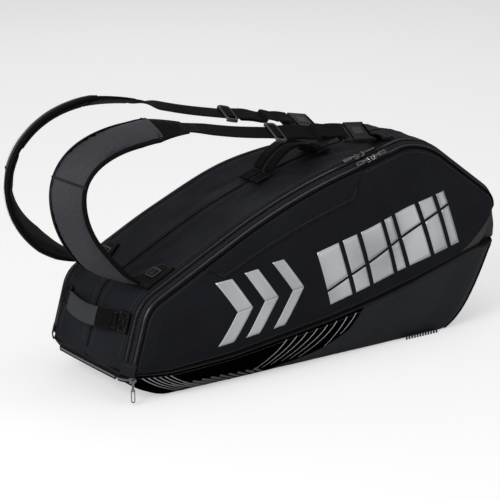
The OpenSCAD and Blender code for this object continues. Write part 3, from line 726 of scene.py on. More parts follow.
def puff(obj, limit, frames=20, voxel=5.0, pressure=4.0):
    """Swells a padded form under a little inner pressure. limit(points) caps the
    distance, in mm, that each point may move. Sewn details are added afterwards."""
    mod = obj.modifiers.new("remesh", "REMESH")
    mod.mode = "VOXEL"
    mod.voxel_size = voxel * MM
    mod.use_smooth_shade = True
    bpy.context.view_layer.objects.active = obj
    bpy.ops.object.modifier_apply(modifier="remesh")
    rest = np.zeros(len(obj.data.vertices) * 3)
    obj.data.vertices.foreach_get("co", rest)
    rest = rest.reshape(-1, 3)
    cloth = obj.modifiers.new("cloth", "CLOTH")
    cloth.settings.quality = 5
    cloth.settings.use_pressure = True
    cloth.settings.uniform_pressure_force = pressure
    cloth.settings.effector_weights.gravity = 0
    cloth.settings.bending_stiffness = 1.5
    co = run_cloth(obj, cloth, frames)
    obj.modifiers.remove(cloth)
    cap = np.asarray(limit(rest / MM), float).reshape(-1, 1)
    rest = rest + capped((co - rest) / MM, cap) * MM
    obj.data.vertices.foreach_set("co", rest.ravel())
    mod = obj.modifiers.new("subdivide", "SUBSURF")
    mod.levels = mod.render_levels = 1
    bpy.ops.object.modifier_apply(modifier="subdivide")
    obj.data.polygons.foreach_set("use_smooth", [True] * len(obj.data.polygons))


# ---------------------------------------------------------------- gusset, zips and bands
def shaped(p, run, edge, seed, amp=1.0, sign=1, high=1.6, gather=0.4, wave=90.0):
    """Grid p with padding, gathers at its sewn edges and soft waves; edge is the
    distance of each point from the nearest seam in mm."""
    n = grid_normals(p, sign)
    fade = 1 - np.exp(-edge / 18)
    h = swell(edge, high, 9) + pucker(run[:, None] * np.ones_like(edge), edge, seed, gather)
    h = h + waves(p, seed + 1, amp, wave) * fade
    return p + n * h[..., None]


# slack creases round the handles: start x, y, end x, y and depth, all in mm
CREASES = [(-52, -26, -118, -52, 2.2), (-30, -28, 34, -66, 2.4), (16, -30, 92, -72, 2.0),
           (64, -24, 128, -48, 1.8), (-70, -14, -150, -24, 1.6), (-40, 28, 30, 62, 2.0),
           (-60, 26, -130, 44, 1.8), (-300, -30, -250, -70, 1.8), (-290, -8, -216, -40, 1.6),
           (-300, 30, -248, 66, 1.6)]
CREASE_HALF = 7.5


def creased(p):
    """Depth of the slack creases at each point of the grid p."""
    depth = np.zeros(p.shape[:2])
    for x0, y0, x1, y1, deep in CREASES:
        line = np.array([x1 - x0, y1 - y0], float)
        off = p[..., :2] - (x0, y0)
        t = np.clip(off @ line / (line @ line), 0, 1)
        gap = np.linalg.norm(off - t[..., None] * line, axis=2)
        depth += deep * np.exp(-(gap / CREASE_HALF) ** 2) * np.sin(math.pi * (0.08 + 0.84 * t))
    return depth


def gusset():
    """Top of the bag between the main zips, in two halves sewn together under a centre welt."""
    s = np.unique(np.concatenate([np.linspace(-1, -0.03, 20), [0], np.linspace(0.03, 1, 20)]))
    p = np.stack([gusset_row(v, -0.4) for v in s], axis=1)
    centre = len(s) // 2
    half = (main_half(OUT[:, 0]) - ZIP_HALF)[:, None]
    edge = np.minimum(1 - np.abs(s), np.abs(s))[None] * half
    pins = np.zeros(edge.shape)
    pins[:, [0, centre, -1]] = 1
    pins[[0, -1]] = 1
    p = shaped(p, RUN, edge, 11, amp=1.3, sign=1, high=2.4, gather=0.5)
    p = p - grid_normals(p) * (creased(p) * np.clip(edge / 8, 0, 1))[..., None]
    q = settle(p, pins, (0, 0, -1.5), shrink=-0.014, cap=3.2)
    p = p + (q - p) * np.clip(edge / 30, 0, 1)[..., None]
    done(sheet(p, 2.4, (BODY,), "gusset_shell", sign=1), "bag_body", "body_fabric", "gusset")
    n = grid_normals(p)
    for side, k in ((NEAR, 0), (FAR, -1)):
        hem = cord(p[:, k] + n[:, k] * 0.3, 1.3, (BODY,), f"{TAG[side]}_gusset_hem")
        done(hem, "bag_body", "body_fabric")
    mid = (p + n * 0.5)[2:-2, centre]
    done(cord(mid, 1.5, (PIPING,), "centre_welt"), "bag_body", "piping", "gusset_welt")
    sew(hems(p, n, (centre - 3, centre + 3, 2, -3), 3, 0.05), "gusset_stitches", "bag_body")
    return p


GUSSET = gusset()
FLAT_UP = np.stack([OUT[:, 2], np.zeros(COUNT), OUT[:, 3]], axis=1)


def tilted_up(side, degrees):
    """The outline's normals, tipped sideways."""
    a = math.radians(degrees)
    return unit(FLAT_UP * math.cos(a) + np.array([0, side * math.sin(a), 0]))


def zip_lines(side, s, up, tag, inner, outer, inner_w, outer_w):
    """Both halves of a zip. The inner half rides on one body, the outer on the other."""
    lift = far_lift_at(OUT[:, 0])[:, None] * up * (1 if side == FAR and s == 0 else 0)
    path = (band_row(side, s, 0.4) + lift)[1:-1]
    up = up[1:-1]
    _, across, n = path_frames(path, up)
    for half, sign, body, width, phase, nodes in (("inner", -side, inner, inner_w, 0.5, (tag,)),
                                                  ("outer", side, outer, outer_w, 0.0, ())):
        name = f"{tag}_{half}"
        tape = path + across * sign * width / 2 - n * 0.6
        done(ribbon(tape, up, width, 0.8, (TAPE,), name + "_tape"), body, "zip_tape", *nodes)
        done(teeth(path, up, 1.7, COIL, name + "_coil", phase, -sign), body, "zip_tape")
        stitch = path + across * sign * min(width - 1, 3.4) - n * 0.2
        sew([(stitch, n)], name + "_stitch", body, "zip_tape", pitch=3.0, length=2.0, radius=0.25)


def bands():
    """Main zips with the strips of fabric below them, and the near side's own zip."""
    for side in (NEAR, FAR):
        tag, body = TAG[side], BAND_BODY[side]
        zip_lines(side, 0.0, tilted_up(side, ZIP_TILT), f"{tag}_main_zip", "bag_body", body, 7.0, 5.0)
        steep = tilted_up(side, BAND_TILT)
        p = np.stack([band_row(side, v, 0.3) for v in np.linspace(0.27, 0.59 if side == NEAR else 0.9, 9)],
                     axis=1)
        arch = (1 - np.linspace(-1, 1, 9) ** 2) * 1.3
        p = p + steep[:, None] * (arch[None, :, None] + waves(p, 31 + side, 0.3, 40)[..., None])
        p, steep = p[1:-1], steep[1:-1]
        if side == FAR:
            fade = far_lift_at(OUT[1:-1, 0])[:, None] * np.linspace(1, 0.1, 9)
            p = p + fade[..., None] * steep[:, None]
        done(sheet(p, 1.8, (BODY,), f"{tag}_band_strip", sign=side), body, "body_fabric", f"{tag}_band")
        for k in (1, 7):
            sew([(p[:, k] + steep * 0.25, steep)], f"{tag}_band_stitch_{k}", body)
    zip_lines(NEAR, 0.76, tilted_up(NEAR, BAND_TILT), "near_side_zip", "near_band", "near_panel", 3.2, 3.4)


bands()


def nose_cheek(side):
    """Folded fabric that squares the band off at the lower nose, down to the pod. It is in the lighter cheek
    colour, painted light on this shaded corner.
    """
    rows = np.flatnonzero((OUT[:, 0] > 300) & (OUT[:, 1] < NOSE_LEVEL + 8))
    out = OUT[rows]
    square = np.stack([out[:, 0] - 2.0, side * (main_half(out[:, 0]) + BAND_W - 3), out[:, 1]], axis=1)
    inner, front = band_row(side, 1.0, -0.8)[rows], band_row(side, 0.12, -1.6)[rows]
    v, w = np.linspace(0, 1, 11)[None, :, None], np.linspace(0, 1, 8)[None, 1:, None]
    p = np.concatenate([inner[:, None] * (1 - v) + square[:, None] * v,
                        square[:, None] * (1 - w) + front[:, None] * w], axis=1)
    for _ in range(3):
        p[:, 1:-1] = (p[:, :-2] + 2 * p[:, 1:-1] + p[:, 2:]) / 4
    flat = np.stack([band_row(side, t, -0.8)[rows] for t in np.linspace(1, 0.12, 18)], axis=1)
    ease = np.clip(np.arange(len(rows)) / 8, 0, 1)[:, None, None]
    ease = ease * ease * (3 - 2 * ease)
    p = flat * (1 - ease) + p * ease
    tuck = p[-1:] + np.array([-6.0, -side * 3.0, -6.5])
    p = np.concatenate([p, (p[-1:] + tuck) / 2 + [1.5, side * 1.0, 0], tuck])
    name, body = f"{TAG[side]}_nose_cheek", BAND_BODY[side]
    done(sheet(p, 1.8, (CHEEK_PAINTED_LIGHT,), name, sign=-side), body, "body_fabric")
    sew(hems(p[:-2], grid_normals(p, -side), (1, -2)), name + "_stitches", body)


def zip_garage(side):
    """Short folded cover over the tail ends of the zips."""
    s = np.linspace(-0.22, 1.03, 16)
    p = np.stack([band_row(side, t, -1.9) for t in s], axis=1)[:4]
    low = np.stack([p[0] + [0.6, 0, -4.0], p[0] + [2.5, 0, -7.5]])[::-1]
    p = np.concatenate([low, p])
    name, body = f"{TAG[side]}_zip_garage", BAND_BODY[side]
    done(sheet(p, 1.6, (BODY,), name, sign=side), body, "body_fabric")
    n = grid_normals(p, side)
    sew(hems(p.swapaxes(0, 1), n.swapaxes(0, 1), (-2,)), name + "_stitches", body)


for end_side in (NEAR, FAR):
    nose_cheek(end_side)
    zip_garage(end_side)


# ---------------------------------------------------------------- side panels
def side_panel(side):
    """A side's padded panel with its piping, stitches and foam sheet; returns its grid and normals."""
    tag, body = TAG[side], PANEL_BODY[side]
    v = np.linspace(0, 1, 44)
    p = np.stack([panel_row(side, t) for t in v], axis=1)
    height = np.linalg.norm(p[:, -1] - p[:, 0], axis=1)[:, None]
    along = np.minimum(RUN, RUN[-1] - RUN)[:, None]
    edge = np.minimum(np.minimum(v, 1 - v)[None] * height, along + 2)
    p = shaped(p, RUN, edge, 51 + side, amp=1.2, sign=-side, high=1.8, gather=0.45, wave=120)
    pins = np.zeros(edge.shape)
    pins[:, [0, -1]] = 1
    pins[[0, -1]] = 1
    q = settle(p, pins, (0, side * 5.0, -2.0), shrink=-0.01, cap=3.5)
    p = p + (q - p) * np.clip(edge / 25, 0, 1)[..., None]
    panel = sheet(p, 2.2, (PANEL,), f"{tag}_panel_shell", sign=-side)
    done(panel, body, "body_fabric", f"{tag}_side_panel")
    n = grid_normals(p, -side)
    line = band_row(side, 1, 0.5)[1:-1]
    done(cord(line, 2.1, (PIPING,), f"{tag}_panel_piping"), body, "piping", f"{tag}_piping")
    sew(hems(p, n, (-2, 1), 2), f"{tag}_panel_stitches", body)
    inner = np.stack([panel_row(side, t, 3.3) for t in np.linspace(0.18, 0.82, 16)], axis=1)[12:-12]
    inner = inner + grid_normals(inner, -side) * waves(inner, 61, 0.25, 60)[..., None]
    done(sheet(inner, 3.8, (FOAM,), f"{tag}_foam_sheet", sign=-side), body, "foam", f"{tag}_foam")
    return p, n


NEAR_PANEL, NEAR_NORMALS = side_panel(NEAR)
FAR_PANEL, _ = side_panel(FAR)


def zip_cover():
    """Narrow folded cover along the near panel's upper edge."""
    first, final = index_at_x(-238), index_at_x(96)
    rows = NEAR_PANEL[first:final, 35:44]
    n = NEAR_NORMALS[first:final, 35:44]
    run = np.linspace(0, 1, final - first)[:, None]
    taper = np.clip(np.minimum(run, 1 - run) * 14, 0.15, 1)
    v = np.linspace(1, 0, 9)[None] * taper
    index = 8 - v * 8
    lo = np.clip(index.astype(int), 0, 7)
    f = (index - lo)[..., None]
    i = np.arange(final - first)[:, None]
    p = rows[i, lo] * (1 - f) + rows[i, lo + 1] * f
    nn = unit(n[i, lo] * (1 - f) + n[i, lo + 1] * f)
    p = p + nn * (1.5 + 0.5 * np.sin(np.linspace(0, math.pi, 9)))[None, :, None]
    done(sheet(p, 1.1, (PANEL,), "near_zip_cover_strip", sign=1), "near_panel", "body_fabric",
         "near_zip_cover")
    sew(hems(p, nn, (1,), 3), "near_zip_cover_stitches", "near_panel")


zip_cover()


# ---------------------------------------------------------------- shoe pod
LEVELS = np.concatenate([np.linspace(0, 0.86, 20), [0.9, 0.94, 0.97, 1.0]])
TAIL_STEPS, CORNER_STEPS, LEFT_STEPS, RIGHT_STEPS = 12, 8, 34, 44
SIDE_END = 290.0


def print_edge(t):
    """X, at the seam's own scale, where the pod's glossy print ends at level t."""
    return np.interp(t, [0, 0.42, 0.62, 0.82, 1], [80, 52, 12, -62, -150])


def half_plan(level, floor):
    """Near half of the pod's plan, from the middle of the tail to the middle of the nose."""
    edge = print_edge(level)
    xs = np.concatenate([np.linspace(-SIDE_END, edge, LEFT_STEPS),
                         np.linspace(edge, SIDE_END, RIGHT_STEPS)[1:]])
    if floor:
        tail, nose, r1, r2 = (FLOOR_TAIL, 2 - FLOOR_HALF), (FLOOR_NOSE, 2 - FLOOR_HALF), 20, 26
        side = np.stack([xs * 0.8, np.full(len(xs), -FLOOR_HALF)], axis=1)
        far_end, near_end = (-SIDE_END * 0.8, -FLOOR_HALF), (SIDE_END * 0.8, -FLOOR_HALF)
    else:
        tail, nose, r1, r2 = (POD_TAIL, -119), (POD_NOSE, -121), POD_CORNER, 34
        side = np.stack([xs, -seam_half(xs)], axis=1)
        far_end = (-SIDE_END, -float(seam_half(-SIDE_END)))
        near_end = (SIDE_END, -float(seam_half(SIDE_END)))
    c1 = np.array(corner((tail[0], 0), tail, far_end, -r1, CORNER_STEPS))[:, :2]
    c2 = np.array(corner(near_end, nose, (nose[0], 0), -r2, CORNER_STEPS))[:, :2]
    ends = [np.linspace((tail[0], 0), c1[0], TAIL_STEPS + 1)[:-1],
            np.linspace(c2[-1], (nose[0], 0), TAIL_STEPS + 1)[1:]]
    gap1 = np.linspace(c1[-1], side[0], 8)[1:-1]
    gap2 = np.linspace(side[-1], c2[0], 8)[1:-1]
    return np.concatenate([ends[0], c1, gap1, side, gap2, c2, ends[1]])


EDGE_INDEX = TAIL_STEPS + CORNER_STEPS + 1 + 6 + LEFT_STEPS - 1
POD_HALF = len(half_plan(0.0, False))


def pod_rows(inset=0.0, bulge=1.8):
    """Points of the pod's near half: plan index x level x 3."""
    cols = []
    for t in LEVELS:
        a, b = half_plan(t, False), half_plan(t, True)
        x = a[:, 0] + (b[:, 0] - a[:, 0]) * np.where(a[:, 0] > 0, 0.8 * t + 0.2 * t ** 8, t ** 1.4)
        y = a[:, 1] + (b[:, 1] - a[:, 1]) * t ** 1.6
        end = np.clip((np.abs(a[:, 0]) - 330) / 40, 0, 1)
        z = (seam_z(a[:, 0]) - 3) * (1 - t) + 2.3 * t ** 8
        swell_out = bulge * math.sin(math.pi * t) - inset
        side = np.clip(-a[:, 1] / 110, 0, 1) ** 3
        x = x + np.sign(a[:, 0]) * end * swell_out
        y = y - side * swell_out
        cols.append(np.stack([x, y, z], axis=1))
    return np.stack(cols, axis=1)


def mirrored(p):
    """The same points on the other side of the bag."""
    q = p.copy()
    q[..., 1] *= -1
    return q


def pod():
    """Shoe pod: its wall, in matt cloth with a glossy print, and its door at the tail.
    Returns the grid of the whole pod and its normals."""
    near = pod_rows()
    around = np.concatenate([near, mirrored(near[1:-1])[::-1]])
    n = around.shape[0]
    s = lengths(around[:, 0])
    edge = np.minimum(LEVELS, 1.05 - LEVELS)[None] * around[:, :1, 2]
    normal = grid_normals(around, -1)
    h = pucker(s[:, None] * np.ones_like(edge), edge, 71, 0.3)
    h = h + waves(around, 72, 0.7, 80) * np.clip(edge / 12, 0, 1)
    grid = around + normal * h[..., None]
    order = np.roll(np.arange(n), -TAIL_STEPS)
    wall = order[:n - 2 * TAIL_STEPS + 1]
    mats = np.zeros((len(wall), len(LEVELS) - 1), int)
    mats[(wall < EDGE_INDEX) | (wall >= n - EDGE_INDEX)] = 1
    done(sheet(grid[wall], 2.6, (POD, POD_GLOSS), "pod_side_wall", sign=-1, face_mat=mats), "bag_body",
         "pod_fabric", "pod_wall")
    door = np.concatenate([order[n - 2 * TAIL_STEPS:], order[:1]])
    flap = grid[door] + normal[door] * swell(np.minimum(LEVELS, 1 - LEVELS)[None] * 50, 1.2, 8)[..., None]
    flap[..., 1] -= np.sign(flap[0, 0, 1]) * 0.35 * np.linspace(1, -1, len(door))[:, None]
    done(sheet(flap, 2.4, (BODY,), "pod_tail_door", sign=-1), "pod_door", "pod_fabric", "pod_door")
    sew(hems(grid[wall], normal[wall], (2,), 0), "pod_stitches", "bag_body", "pod_fabric")
    nose_at = POD_HALF - TAIL_STEPS - CORNER_STEPS // 2 - 2
    for side, k in ((NEAR, nose_at), (FAR, n - nose_at)):
        line = grid[k] + normal[k] * 0.6
        done(cord(line, 1.9, (PIPING,), f"{TAG[side]}_pod_nose_piping"), "bag_body", "piping")
    return grid, normal


POD_GRID, POD_NORMAL = pod()


# section of the folded welt: outwards and up
WELT = [(-2.4, 0.6), (-1.4, 2.4), (0.4, 3.0), (1.8, 2.1), (2.3, 0.4), (2.0, -1.6), (1.5, -3.0),
        (0.8, -3.3), (0.4, -2.2), (-0.8, -1.4)]


def welt():
    """Folded welt where the pod meets the body, with a flap that hangs over the pod."""
    line = half_plan(0.0, False)
    full = np.concatenate([line, (line * [1, -1])[1:-1][::-1]])
    path = np.column_stack([full, seam_z(full[:, 0]) - 0.4])
    path = resample(np.vstack([path, path[:1]]), 5.0)[:-1]
    t = unit(np.roll(path, -1, 0) - np.roll(path, 1, 0))
    out = unit(np.cross(t, (0, 0, 1)))
    if np.mean(np.sum(out[:, :2] * unit(path[:, :2]), axis=1)) < 0:
        out = -out
    up = np.array([0, 0, 1.0])
    rings = np.stack([path + out * a + up * b for a, b in WELT], axis=1)
    rings = rings + out[:, None] * waves(path, 81, 0.35, 60)[:, None, None]
    done(loft(rings, (PIPING,), "pod_seam_welt", loop=True), "bag_body", "piping", "seam_welt")
    sew([(path + out * 2.2 - up, out)], "pod_welt_stitches", "bag_body", "piping")


welt()


def skirt(name, row, inward):
    """Strip that carries the gusset's end down behind the pod's welt."""
    low = row + [inward, 0, -9.0]
    v = np.linspace(0, 1, 6)[None, :, None]
    p = row[:, None] * (1 - v) + low[:, None] * v
    done(sheet(p, 2.0, (BODY,), name, sign=1 if inward > 0 else -1), "bag_body", "body_fabric")


def level_sheet(xs, half, z, s, seed, amp, wave, fade=1.0):
    """Grid of a level sheet of cloth between -half and half at each of xs, with soft waves."""
    shape = (len(xs), len(s))
    p = np.stack([np.broadcast_to(xs[:, None], shape), half[:, None] * s,
                  np.broadcast_to(z[:, None], shape)], axis=2)
    p[..., 2] += waves(p, seed, amp, wave) * fade
    return p


def pod_roof():
    """Cloth deck that closes the pod under the body, out to the welt."""
    plan = half_plan(0.0, False)[TAIL_STEPS:POD_HALF - TAIL_STEPS]
    xs = np.linspace(POD_TAIL + 1.5, POD_NOSE - 1.5, 130)
    half = np.interp(xs, plan[:, 0] + np.arange(len(plan)) * 1e-6, -plan[:, 1]) - 1.5
    s = np.linspace(-1, 1, 40)
    p = level_sheet(xs, half, seam_z(xs) + 0.8, s, 83, 0.35, 70, 1 - s ** 8)
    done(sheet(p, 2.0, (BODY,), "pod_deck", sign=1), "bag_body", "body_fabric")


pod_roof()
skirt("tail_skirt", GUSSET[0] + [1.2, 0, 1.5], 2.0)
skirt("nose_skirt", GUSSET[-1] + [-1.2, 0, 1.5], -7.0)


def on_pod(x, t, lift=0.0):
    """Point and normal of the near pod side where the seam's x and the level are given."""
    j = np.arange(TAIL_STEPS, POD_HALF - TAIL_STEPS)
    k = np.interp(t, LEVELS, np.arange(len(LEVELS)))
    lo = int(min(k, len(LEVELS) - 2))
    f = k - lo
    grid = POD_GRID[j, lo] * (1 - f) + POD_GRID[j, lo + 1] * f
    nor = POD_NORMAL[j, lo] * (1 - f) + POD_NORMAL[j, lo + 1] * f
    plan_x = half_plan(t, False)[j, 0] + np.arange(len(j)) * 1e-6
    p = np.array([np.interp(x, plan_x, grid[:, c]) for c in range(3)])
    n = unit(np.array([np.interp(x, plan_x, nor[:, c]) for c in range(3)]))
    return p + n * lift, n


def pod_line(x_of_t, t0, t1, width, side, count=26):
    """A thin printed line down the pod's side, tapering at its lower end."""
    rows = [on_pod(x_of_t(t), t, 0.22) for t in np.linspace(t0, t1, count)]
    path = np.array([r[0] for r in rows])
    up = np.array([r[1] for r in rows])
    if side == FAR:
        path, up = mirrored(path), mirrored(up)
    w = width * (1 - 0.55 * np.linspace(0, 1, count) ** 2)
    return path, up, w


def merged(objs, name):
    """Joins pieces into one object."""
    bpy.ops.object.select_all(action="DESELECT")
    for o in objs:
        o.select_set(True)
    bpy.context.view_layer.objects.active = objs[0]
    bpy.ops.object.join()
    objs[0].name = name
    return objs[0]


FAN_PITCH, FAN_FIRST = 20.7, -80.0
ARC_LINES, ARC_PITCH, ARC_FIRST = 6, 9.3, -352
HATCH_BARS, HATCH_PITCH, HATCH_FIRST, HATCH_W = 10, 18.0, -318, 4.6
# run and lower end of each line of the fan
FAN_ENDS = [(85, 0.80), (80, 0.75), (80, 0.73), (76, 0.72), (78, 0.73), (78, 0.74), (42, 0.63),
            (30, 0.44)]


def pod_prints():
    """Fine silver lines and a row of grey bars, printed on both sides of the pod."""
    for side in (NEAR, FAR):
        lines = []
        for k, (run, low) in enumerate(FAN_ENDS):
            x0 = FAN_FIRST + FAN_PITCH * k
            lines.append(pod_line(lambda t: x0 - run * (t / low) ** 1.35, 0.07, low, 1.7, side))
        for k in range(ARC_LINES):
            x0 = ARC_FIRST + ARC_PITCH * k
            lines.append(pod_line(lambda t: x0 + 26 * t ** 1.2, 0.1, 0.93 - 0.03 * k, 1.6, side, 18))
        objs = [ribbon(*line, 0.35, (FINE_SILVER,), "line") for line in lines]
        done(merged(objs, f"{TAG[side]}_pod_fine_lines"), "bag_body", "pod_fabric")
        objs = []
        for k in range(HATCH_BARS):
            x0, high = HATCH_FIRST + HATCH_PITCH * k, 0.50 + 0.022 * k
            path, up, _ = pod_line(lambda t: x0 + 26 * (t - high) / 0.4, high, 0.93, HATCH_W, side, 8)
            objs.append(ribbon(path, up, HATCH_W, 0.3, (GREY_PRINT,), "bar"))
        done(merged(objs, f"{TAG[side]}_pod_grey_bars"), "bag_body", "pod_fabric")


pod_prints()


def rounded_loop(length, width, radius, steps=7):
    """Closed plan of a rounded rectangle round the origin."""
    pts = []
    for sx, sy, start in ((1, 1, 0), (-1, 1, 90), (-1, -1, 180), (1, -1, 270)):
        for k in range(steps + 1):
            a = math.radians(start + 90 * k / steps)
            pts.append((sx * (length / 2 - radius) + radius * math.cos(a),
                        sy * (width / 2 - radius) + radius * math.sin(a)))
    return np.array(pts)


def base(radius=24, chamfer=1.2):
    """Moulded base plate with rounded corners and eased edges, and four stiffeners on it."""
    lo, hi = box_mm("base_panel")
    length, width, _ = hi - lo
    rings = []
    for inset, z in ((chamfer, lo[2]), (0, lo[2] + chamfer), (0, hi[2] - chamfer), (chamfer, hi[2])):
        plan = rounded_loop(length - 2 * inset, width - 2 * inset, radius - inset, 8)
        rings.append(np.column_stack([plan + (lo + hi)[:2] / 2, np.full(len(plan), z)]))
    done(stacked(rings, RUBBER, "base_plate"), "bag_body", "base_rubber", "base_panel")
    rails = []
    for y in (-60, -20, 20, 60):
        path = np.array([[x, y, hi[2] + 0.4] for x in np.linspace(lo[0] + 30, hi[0] - 30, 60)])
        rails.append(cord(path, 1.6, (RUBBER,), "rail"))
    done(merged(rails, "base_stiffeners"), "bag_body", "base_rubber")


base()


def pod_zip():
    """Pale coil along the top of the pod's door and round its near corner."""
    z = float(seam_z(POD_TAIL)) - 11.5
    out = POD_TAIL - 1.9
    y1 = 88.0
    path = np.array([[out - 0.9 * math.cos(y / y1 * math.pi / 2), y, z] for y in np.linspace(y1, -y1, 60)])
    up = np.array([-1.0, 0, 0])
    for half, sign, body, phase, nodes in (("upper", 1, "bag_body", 0.0, ()),
                                           ("lower", -1, "pod_door", 0.5, ("pod_zip",))):
        tape = path + np.array([0.5, 0, 2.4 * sign])
        done(ribbon(tape, up, 4.4, 0.7, (TAPE,), f"pod_zip_{half}_tape"), body, "zip_tape", *nodes)
        done(teeth(path, up, 1.5, COIL_PALE, f"pod_zip_{half}_coil", phase, -sign), body, "zip_tape")
    ang = np.radians(np.linspace(180, 242, 16))
    up = np.column_stack([np.cos(ang), np.sin(ang), np.zeros(16)])
    bend = np.array([POD_TAIL + POD_CORNER, POD_CORNER - 119, z]) + (POD_CORNER + 1.6) * up
    done(ribbon(bend - up * 0.9, up, 8.5, 0.7, (TAPE,), "pod_zip_corner_tape"), "bag_body", "zip_tape")
    for k in (0, 1):
        row = teeth(bend, up, 1.5, COIL_PALE, f"pod_zip_corner_coil_{k}", 0.5 * k, 1 - 2 * k)
        done(row, "bag_body", "zip_tape")


pod_zip()


# ---------------------------------------------------------------- inside
def inner_wall(xs, top, lower_y, upper_y, drop, name, node, body, thick):
    """Hanging divider with a bound upper edge; returns its grid."""
    v = np.linspace(0, 1, 22)
    z = (seam_z(xs) + 9)[:, None] * (1 - v) + (top - drop)[:, None] * v
    y = lower_y[:, None] * (1 - v) + upper_y[:, None] * v
    p = np.stack([np.broadcast_to(xs[:, None], z.shape), y, z], axis=2)
    p[..., 1] += waves(p, 91, 0.9, 90) * np.clip(np.minimum(v, 1 - v) * 6, 0, 1)
    done(sheet(p, thick, (LINING,), name, sign=-1), body, "lining", node)
    edge = (p - grid_normals(p, -1) * thick / 2)[:, -1]
    done(cord(edge, thick / 2 + 0.7, (PIPING,), name + "_binding"), body, "lining")
    return p


def wall_ends(name, grid, rim, body):
    """Sheets that carry both ends of a divider out to the bag's own outline."""
    for end, edge, reach, sign in (("tail", grid[0], rim[OUT[:, 0] < grid[0, 0, 0] + 3], 1),
                                   ("nose", grid[-1], rim[OUT[:, 0] > grid[-1, 0, 0] - 3][::-1], -1)):
        v = np.linspace(0, 1, 14)[None, :, None]
        p = spread(edge, 26)[:, None] * (1 - v) + spread(reach, 26)[:, None] * v
        p[..., 1] += waves(p, 93, 0.6, 60)
        done(sheet(p, 2.0, (LINING,), f"{name}_{end}_end", sign=sign), body, "lining")


def inner_walls():
    """Dividers between the compartments, and the sheet they stand on."""
    xs = np.linspace(-325, 330, 80)
    top = np.array([on_outline(x)[0] for x in xs])
    middle = np.full(len(xs), -1.0)
    centre = inner_wall(xs, top, middle, middle, 10, "centre_wall", "centre_divider", "bag_body", 2.2)
    near = inner_wall(xs, top, 22 - seam_half(xs), 5.5 - main_half(xs), 36, "near_wall", "near_divider",
                      "near_band", 3.2)
    rim = np.column_stack([OUT[:, 0] - OUT[:, 2] * 5, np.full(COUNT, -1.0), OUT[:, 1] - OUT[:, 3] * 5])
    wall_ends("centre_wall", centre, rim, "bag_body")
    wall_ends("near_wall", near, band_row(NEAR, 0.1, 5.0), "near_band")
    xs = np.linspace(-360, 340, 90)
    p = level_sheet(xs, seam_half(xs) - 21, seam_z(xs) + 4.6, np.linspace(-1, 1, 26), 95, 0.5, 90)
    done(sheet(p, 2.6, (LINING,), "compartment_floor_sheet", sign=1), "bag_body", "lining",
         "compartment_floor")


inner_walls()


def hinge_cloth(side, still, moving, low, high, inset):
    """Gathered cloth behind the foot of a side, from below the hinge to above it, so that no gap shows along
    the hinge."""
    foot = seam_line(side)
    v = np.linspace(0, 1, 9)
    p = foot[:, None] + np.stack([np.zeros(9), np.full(9, -side * inset), low + (high - low) * v],
                                 axis=1)[None]
    p[..., 1] += side * 0.8 * np.sin(np.arange(len(foot)) * 1.1)[:, None] * np.sin(math.pi * v)
    obj = sheet(p, 1.2, (BODY,), f"{moving}_hinge_cloth", sign=-side)
    rise = unit(np.array([-(foot[-1, 2] - foot[0, 2]), 0, foot[-1, 0] - foot[0, 0]]))
    start, end = float(np.max(p[:, 0] @ rise)), float(np.min(p[:, -1] @ rise))
    bent(obj, still, moving, rise * start, rise * end, "lining")


hinge_cloth(NEAR, "bag_body", "near_band", -2.0, 26.0, 5.0)
hinge_cloth(NEAR, "near_band", "near_panel", 6.0, 34.0, 3.0)
hinge_cloth(FAR, "bag_body", "far_door", -2.0, 26.0, 4.0)


# ---------------------------------------------------------------- straps
ANCHOR = np.array([-322.0, 186.0])
REACH = {NEAR: np.array([-450.0, 338.0]), FAR: np.array([-462.0, 326.0])}
TIP = {NEAR: np.array([-214.0, 414.0]), FAR: np.array([-243.0, 440.0])}
GLIDE_AT = {NEAR: np.array([-26.0, 378.0]), FAR: np.array([-62.0, 398.0])}
LOCK = {NEAR: np.array([100.0, 366.0]), FAR: np.array([52.0, 376.0])}
PLAN = {NEAR: [(-460, 84), (-330, 82), (-214, 56), (-26, 46), (150, 54)],
        FAR: [(-460, 84), (-330, 82), (-243, 56), (-62, 38), (150, 40)]}
TIP_FROM, TIP_TO = 1.8, 1.98
TWIST_END = 0.24
GLIDE_SHARE = 0.93


def strap_y(side, x):
    """Sideways place of a strap at x."""
    xs, ys = zip(*PLAN[side])
    return side * np.interp(x, xs, ys)


def bezier(a, b, c, d, t):
    """Point at t on a cubic curve."""
    return a * (1 - t) ** 3 + 3 * b * t * (1 - t) ** 2 + 3 * c * t * t * (1 - t) + d * t ** 3


def pad_point(side, t):
    """Point on a strap pad's centre line, at t from 0 at the anchor to 2 at the tip."""
    r, tip = REACH[side], TIP[side]
    if t < 1:
        p = bezier(ANCHOR, ANCHOR + [-72, 18], r - [0, 66], r, t)
    else:
        p = bezier(r, r + [0, 74], tip + [-136, 26], tip, t - 1)
    return np.array([p[0], strap_y(side, p[0]), p[1]])


def pad_frame(side, t):
    """Centre, width direction and outward normal of a strap pad at t from 0 to 2."""
    p, q = pad_point(side, t), pad_point(side, t + 0.01)
    d = unit((q - p) * [1, 0, 1])
    up = np.array([-d[2], 0, d[0]])
    y = np.array([0, 1.0, 0])
    r = math.radians(side * PAD_ROLL * min(1, t * 2.2) * (1 - 0.35 * max(0, t - 1)))
    return p, y * math.cos(r) - up * math.sin(r), up * math.cos(r) + y * math.sin(r)


def pad_size(t):
    """Width and thickness of the padded form at t."""
    ease = min(1, t * 3.2)
    w, h = PAD_W * (0.62 + 0.38 * ease), PAD_T * (0.55 + 0.45 * ease)
    if t > TIP_FROM:
        k = (t - TIP_FROM) / (TIP_TO - TIP_FROM)
        w, h = PAD_W * (1 - 0.42 * k), PAD_T * (1 - 0.6 * k)
    return w, h


